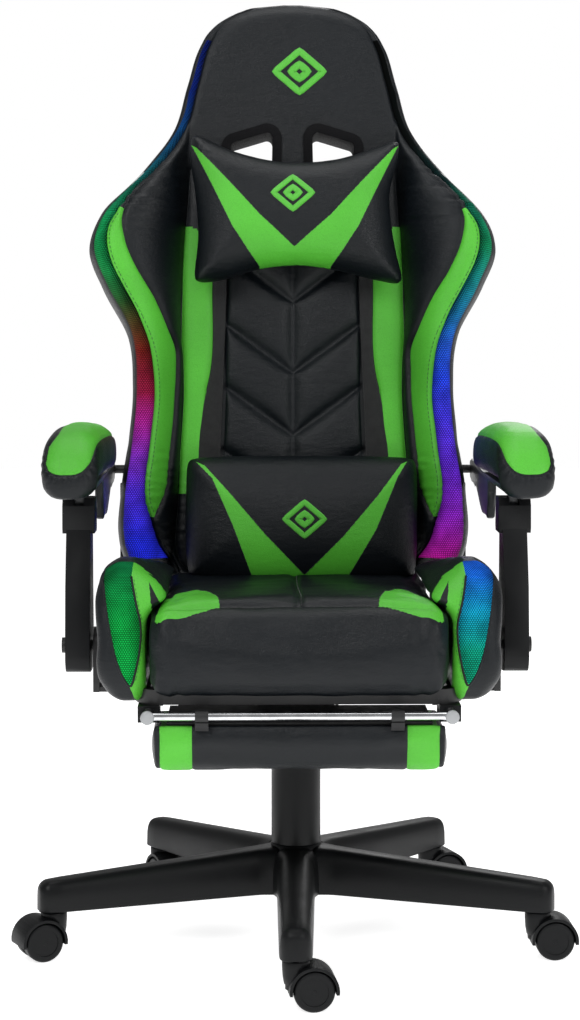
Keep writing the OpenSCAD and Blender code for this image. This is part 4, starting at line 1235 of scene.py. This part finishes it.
PAD_PROFILE = [(150, 618), (153, 640), (146, 664), (118, 677), (40, 684), (-60, 685), (-110, 677), (-140, 655),
               (-152, 628),
               (-150, 606), (-143, 599), (-134, 601), (-130, 613), (-60, 614.5), (60, 614.5), (138, 614.5)]
pad_half = curve_mm((590, 29), (600, 31.5), (618, 34.5), (640, 35.5), (662, 34.5), (690, 33))
INSERT = [(167, 6960), (167, 6790), (270, 6635), (294, 6432), (250, 6342), (136, 6296), (-67, 6296), (-180, 6342),
          (-271, 6454),
          (-317, 6635), (-363, 6800), (-363, 6960)]
for name, sign in SIDES.items():
    body = f"armrest_{name}"
    local = Matrix.Translation((sign * 0.2770, -0.060, 0)) @ Matrix.Rotation(sign * radians(1.5), 4, "Z")
    pad = soft_block(f"armrest_pad_cover_{name}", PAD_PROFILE, lambda z: -pad_half(z), pad_half, 0.024,
                     LEATHERS, 30, 12, 0.005)
    swell(pad, 3.0, 0.004, 0.0045, lambda co: (co[:, 2] < 0.6175) & (co[:, 1] > -0.135))
    subdivided(pad)
    zone = np.array(metres(INSERT, TENTHS, sign))
    cut_region(pad, zone, 1, facing=lambda n: n.y < 0.5 and n.z > -0.35, where=lambda c: c.z > 0.61)
    # a groove along the insert's edge, and the leather gathered outside it round the front
    co = coords(pad)
    d = distance_to(co[:, [0, 2]], zone)
    outside = np.array([not inside_polygon(x, z, zone) for x, z in co[:, [0, 2]]])
    groove = 0.0016 * np.exp(-(d / 0.0016) ** 2) * smoothstep(co[:, 2], 0.618, 0.626)
    along = np.arctan2(co[:, 2] - 0.665, co[:, 0])
    gather = (0.0006 * np.sin(along * 34) * np.exp(-((d - 0.007) / 0.006) ** 2) * smoothstep(-co[:, 1], 0.105, 0.125)
              * (co[:, 2] < 0.668) * outside)
    push_out(pad, co, gather - groove + 0.0004 * wobble(co, 0.05, 41))
    piping(f"armrest_piping_{name}", Surface(pad), facing_line(INSERT[2:-2], TENTHS, sign), 0.0013, body, local)
    assign(place(pad, local), body, [f"armrest_pad_{name}"])
    fin = soft_block(f"armrest_fin_{name}", [(4, 604), (14, 559), (30, 558), (60, 558), (96, 559), (190, 589),
                                             (262, 593), (266, 608), (255, 618), (92, 611)],
                     flat_x(min(sign * 0.2518, sign * 0.2628)), flat_x(max(sign * 0.2518, sign * 0.2628)), 0.0035,
                     [grey_plastic], 16, 8, 0.004, 0.0015)
    assign(fin, body)

# ---------- footrest

FOOT_PROFILE = [(-264.6, 331), (-268.3, 335), (-271.4, 331), (-272.4, 312), (-271.8, 290), (-266, 279), (-252, 276),
                (-140, 280),
                (-127, 288), (-122, 300), (-121, 318), (-125, 325.4), (-200, 325.4), (-258, 325.4), (-264, 326.4)]
FOOT_HALF = 0.1765
FOOT_SEAMS = (-0.1690, -0.1300, 0.1300, 0.1690)
foot_pad = soft_block("footrest_pad_cover", FOOT_PROFILE, flat_x(-FOOT_HALF), flat_x(FOOT_HALF), 0.0034,
                      LEATHERS, 60, 8, 0.005, 0.001)
swell(foot_pad, 3.0, 0.003, 0.005, lambda co: co[:, 2] > 0.3235)
subdivided(foot_pad)
for x0, x1 in (FOOT_SEAMS[:2], FOOT_SEAMS[2:]):
    cut_region(foot_pad, [(x0, 0.26), (x1, 0.26), (x1, 0.34), (x0, 0.34)], 1, facing=lambda n: n.y < 0.3)
co = coords(foot_pad)
near = np.min([np.abs(co[:, 0] - k) for k in FOOT_SEAMS], axis=0)
push_out(foot_pad, co, (-0.0014 * np.exp(-(near / 0.0018) ** 2) + 0.0005 * wobble(co, 0.05, 51))
         * smoothstep(0.325 - co[:, 2], 0.0, 0.004))
assign(foot_pad, "footrest", ["footrest_pad"])

RAIL_X, RAIL_Z = 0.183, 0.344
CAP_RINGS = [(-0.2825, 0.0082), (-0.2865, 0.0084), (-0.2880, 0.0074), (-0.2885, 0.0050),
             (-0.2885, 0.0015)]  # (y, radius)
caps = [outward(new_object("rail_cap", [(sign * RAIL_X + u, y, RAIL_Z + v) for y, r in CAP_RINGS for u,
                                        v in circle(r, 32)],
                           ring_faces(len(CAP_RINGS), 32), [pale_plastic])) for sign in SIDES.values()]
assign(joined("rail_end_caps", caps), "footrest_slider")

# ---------- base and casters

ARM_ANGLES = [-91, -19, 53, 125, 197]


def base_arm(angle):
    """One arm: a round-topped channel, open below but for its two ends and the walls round the stem."""
    stations = [30, 36, 44, 54, 60, 61, 75, 110, 150, 190, 230, 270, 300, 305, 306, 317.5, 318.5, 335.5, 336.5, 339,
                341.5, 343.5, 345.3, 346.5, 347.2]
    rings = []
    for r in stations:
        s = (r - 30) / 317
        end = max(0.0, (r - 329) / 18.3)
        nose = sqrt(max(0.0, 1 - end ** 2.4))
        half = (25 - 5 * s + 9 * exp(-((r - 30) / 16) ** 2)) * (0.30 + 0.70 * nose)
        low = 66 - 4 * s
        top = 126.5 - 25.5 * s - 13 * (1 - nose)
        cell = 61 <= r <= 305
        socket = 318.5 <= r <= 335.5
        depth = top - low - 7 if cell else 24.5 if socket else 0.6
        inner = min(half - 4, 7) if socket else half - 4
        points = []
        for k in range(17):
            a = PI * k / 16
            x, z = cos(a), sin(a)
            wide = half * (1 - 0.10 * z) * copysign(abs(x) ** 0.55, x)
            points.append((wide, low + 1.5 + (top - low - 1.5) * z ** 0.42))
        wall = [(inner * 0.8, low + depth), (inner * 0.97, low + depth * 0.8), (inner, low)]
        points = [(half - 1, low)] + points + [(1 - half, low)] + [(-p, z) for p, z in wall[::-1]] + wall
        rings += [(r / 1000, p, z) for p, z in metres(points)]
    obj = new_object("base_arm", rings, ring_faces(len(stations), 25), [nylon])
    return place(outward(obj), Matrix.Rotation(radians(angle), 4, "Z"))


def turned(name, profile_mm, mat, sides=96):
    """A turned part from a closed (radius, z) outline."""
    n = len(profile_mm)
    turns = [[(x, y, z) for x, y in circle(r, sides)] for r, z in metres(profile_mm)]
    verts = [turns[j][k] for k in range(sides) for j in range(n)]
    faces = [(k * n + j, k * n + (j + 1) % n, ((k + 1) % sides) * n + (j + 1) % n, ((k + 1) % sides) * n + j)
             for k in range(sides) for j in range(n)]
    return outward(new_object(name, verts, faces, [mat]))


hub = turned("base_hub", [(25.6, 66), (33, 66), (36.5, 68), (38, 72), (38, 112), (37.2, 119), (35.2, 124.5),
                          (32.5, 127.8), (30.5, 129), (25.6, 129)], nylon)
base = joined("star_base_moulding", [base_arm(a) for a in ARM_ANGLES] + [hub])
assign(base, "base", ["star_base"])

WHEEL_R, TRAIL, STEM_RADIUS = 0.025, 0.020, 0.327
BOSS_LEVELS = [(0.0300, 0.0125), (0.0315, 0.0145), (0.040, 0.0160), (0.052, 0.0168), (0.0590, 0.0168),
               (0.0608, 0.0160), (0.0612, 0.0140)]  # (z, radius)
WHEEL_GAP = 0.002


def centre_of(node):
    obj = frame["nodes"][node]
    return sum((obj.matrix_world @ Vector(c) for c in obj.bound_box), Vector()) / 8


def room_at(z):
    """How far the boss may reach towards its wheel at a height."""
    if z >= 2 * WHEEL_R + WHEEL_GAP:
        return 1
    return TRAIL - sqrt(max(0.0, (WHEEL_R + WHEEL_GAP) ** 2 - (z - WHEEL_R) ** 2))


for i in range(1, 6):
    wheel = centre_of(f"caster_wheels_{i}")
    stem = min((Vector((STEM_RADIUS * cos(radians(a)), STEM_RADIUS * sin(radians(a)), 0))
                for a in ARM_ANGLES), key=lambda p: (p.xy - wheel.xy).length)
    heading = atan2(wheel.y - stem.y, wheel.x - stem.x)
    verts = [(min(x, room_at(z)), y, z) for z, r in BOSS_LEVELS for x, y in circle(r, 48)]
    boss = outward(new_object(f"caster_boss_{i}", verts, ring_faces(len(BOSS_LEVELS), 48), [nylon]))
    place(boss, Matrix.Translation(stem) @ Matrix.Rotation(heading, 4, "Z"))
    assign(boss, f"caster_{i}")

# ---------- hard parts with their edges eased

HARD = [("tension_knob", "knob", nylon, 0.0010), ("recliner_covers", "backrest", smooth_plastic, 0.0020),
        ("recliner_caps", "seat", smooth_plastic, 0.0020), ("footrest_guides", "seat", nylon, 0.0012),
        ("recliner_lever", "recliner_handle", smooth_plastic, 0.0014)]
HARD += [(f"caster_hood_{i}", f"caster_{i}", nylon, 0.0007) for i in range(1, 6)]
for s in SIDES:
    HARD += [(f"arm_strut_{s}", f"strut_{s}", nylon, 0.0035),
             (f"armrest_core_{s}", f"armrest_{s}", grey_plastic, 0.0016)]
for node, body, look, width in HARD:
    softened(node, body, look, width)


# ---------- the studio


FLOOR_RADIUS = 9
CAMERA_AT = Vector((-0.054, -3.1, 0.84))
CAMERA_DOWN = 5.0  # degrees below the horizontal
# name: (position, aim, size, watts)
LIGHTS = {"key": ((-1.5, -2.4, 2.7), (0, 0, 0.7), (1.4, 1.4), 42),
          "fill": ((1.9, -2.2, 1.9), (0, 0, 0.7), (1.2, 1.6), 27),
          "top": ((0.0, 0.2, 3.0), (0, 0, 0.6), (1.8, 1.4), 20),
          "rear": ((0.6, 3.0, 2.2), (0, 0, 0.7), (1.6, 1.6), 24)}


def put_in_scene(name, data, location, rotation):
    obj = linked(name, data)
    obj.location, obj.rotation_euler = location, rotation
    return obj


def studio():
    """A glowing white floor, four area lights, and a backdrop that looks white and lights the room dimly."""
    scene = bpy.context.scene
    floor = Nodes("studio_floor")
    tone = floor.ramp(floor.noise(2.0, 2), [(0.3, (0.93,) * 3), (0.7, (0.96,) * 3)])
    floor.put(floor.shader.inputs["Emission Color"], (1, 1, 1, 1))
    floor.done(tone, 0.6, floor.bump(floor.noise(300, 2), 0.0001, 0.3), Specular_IOR_Level=0.1,
               Emission_Strength=0.76)
    new_object("studio_floor", [(x, y, 0) for x, y in circle(FLOOR_RADIUS, 64)], [tuple(range(64))],
                        [floor.mat])
    scene.world = bpy.data.worlds.new("studio_world")
    scene.world.use_nodes = True
    tree = scene.world.node_tree
    dim, white = tree.nodes["Background"], tree.nodes.new("ShaderNodeBackground")
    for node, strength in ((dim, 0.30), (white, 1.0)):
        node.inputs["Color"].default_value = (1, 1, 1, 1)
        node.inputs["Strength"].default_value = strength
    mix = tree.nodes.new("ShaderNodeMixShader")
    for source, target in ((tree.nodes.new("ShaderNodeLightPath").outputs["Is Camera Ray"], mix.inputs[0]),
                           (dim.outputs[0], mix.inputs[1]), (white.outputs[0], mix.inputs[2]),
                           (mix.outputs[0], tree.nodes["World Output"].inputs["Surface"])):
        tree.links.new(source, target)
    for name, (at, aim, size, energy) in LIGHTS.items():
        data = bpy.data.lights.new(name, "AREA")
        data.shape, data.size, data.size_y = "RECTANGLE", *size
        data.energy = energy
        put_in_scene(name, data, at, (Vector(aim) - Vector(at)).to_track_quat("-Z", "Y").to_euler())
    data = bpy.data.cameras.new("camera")
    data.lens, data.sensor_width = 83.9, 36.0
    data.clip_end = 50
    data.shift_x = -0.0058
    scene.camera = put_in_scene("camera", data, CAMERA_AT, (radians(90 - CAMERA_DOWN), 0, -atan(0.054 / 3.1)))
    scene.view_settings.view_transform = "Standard"


studio()
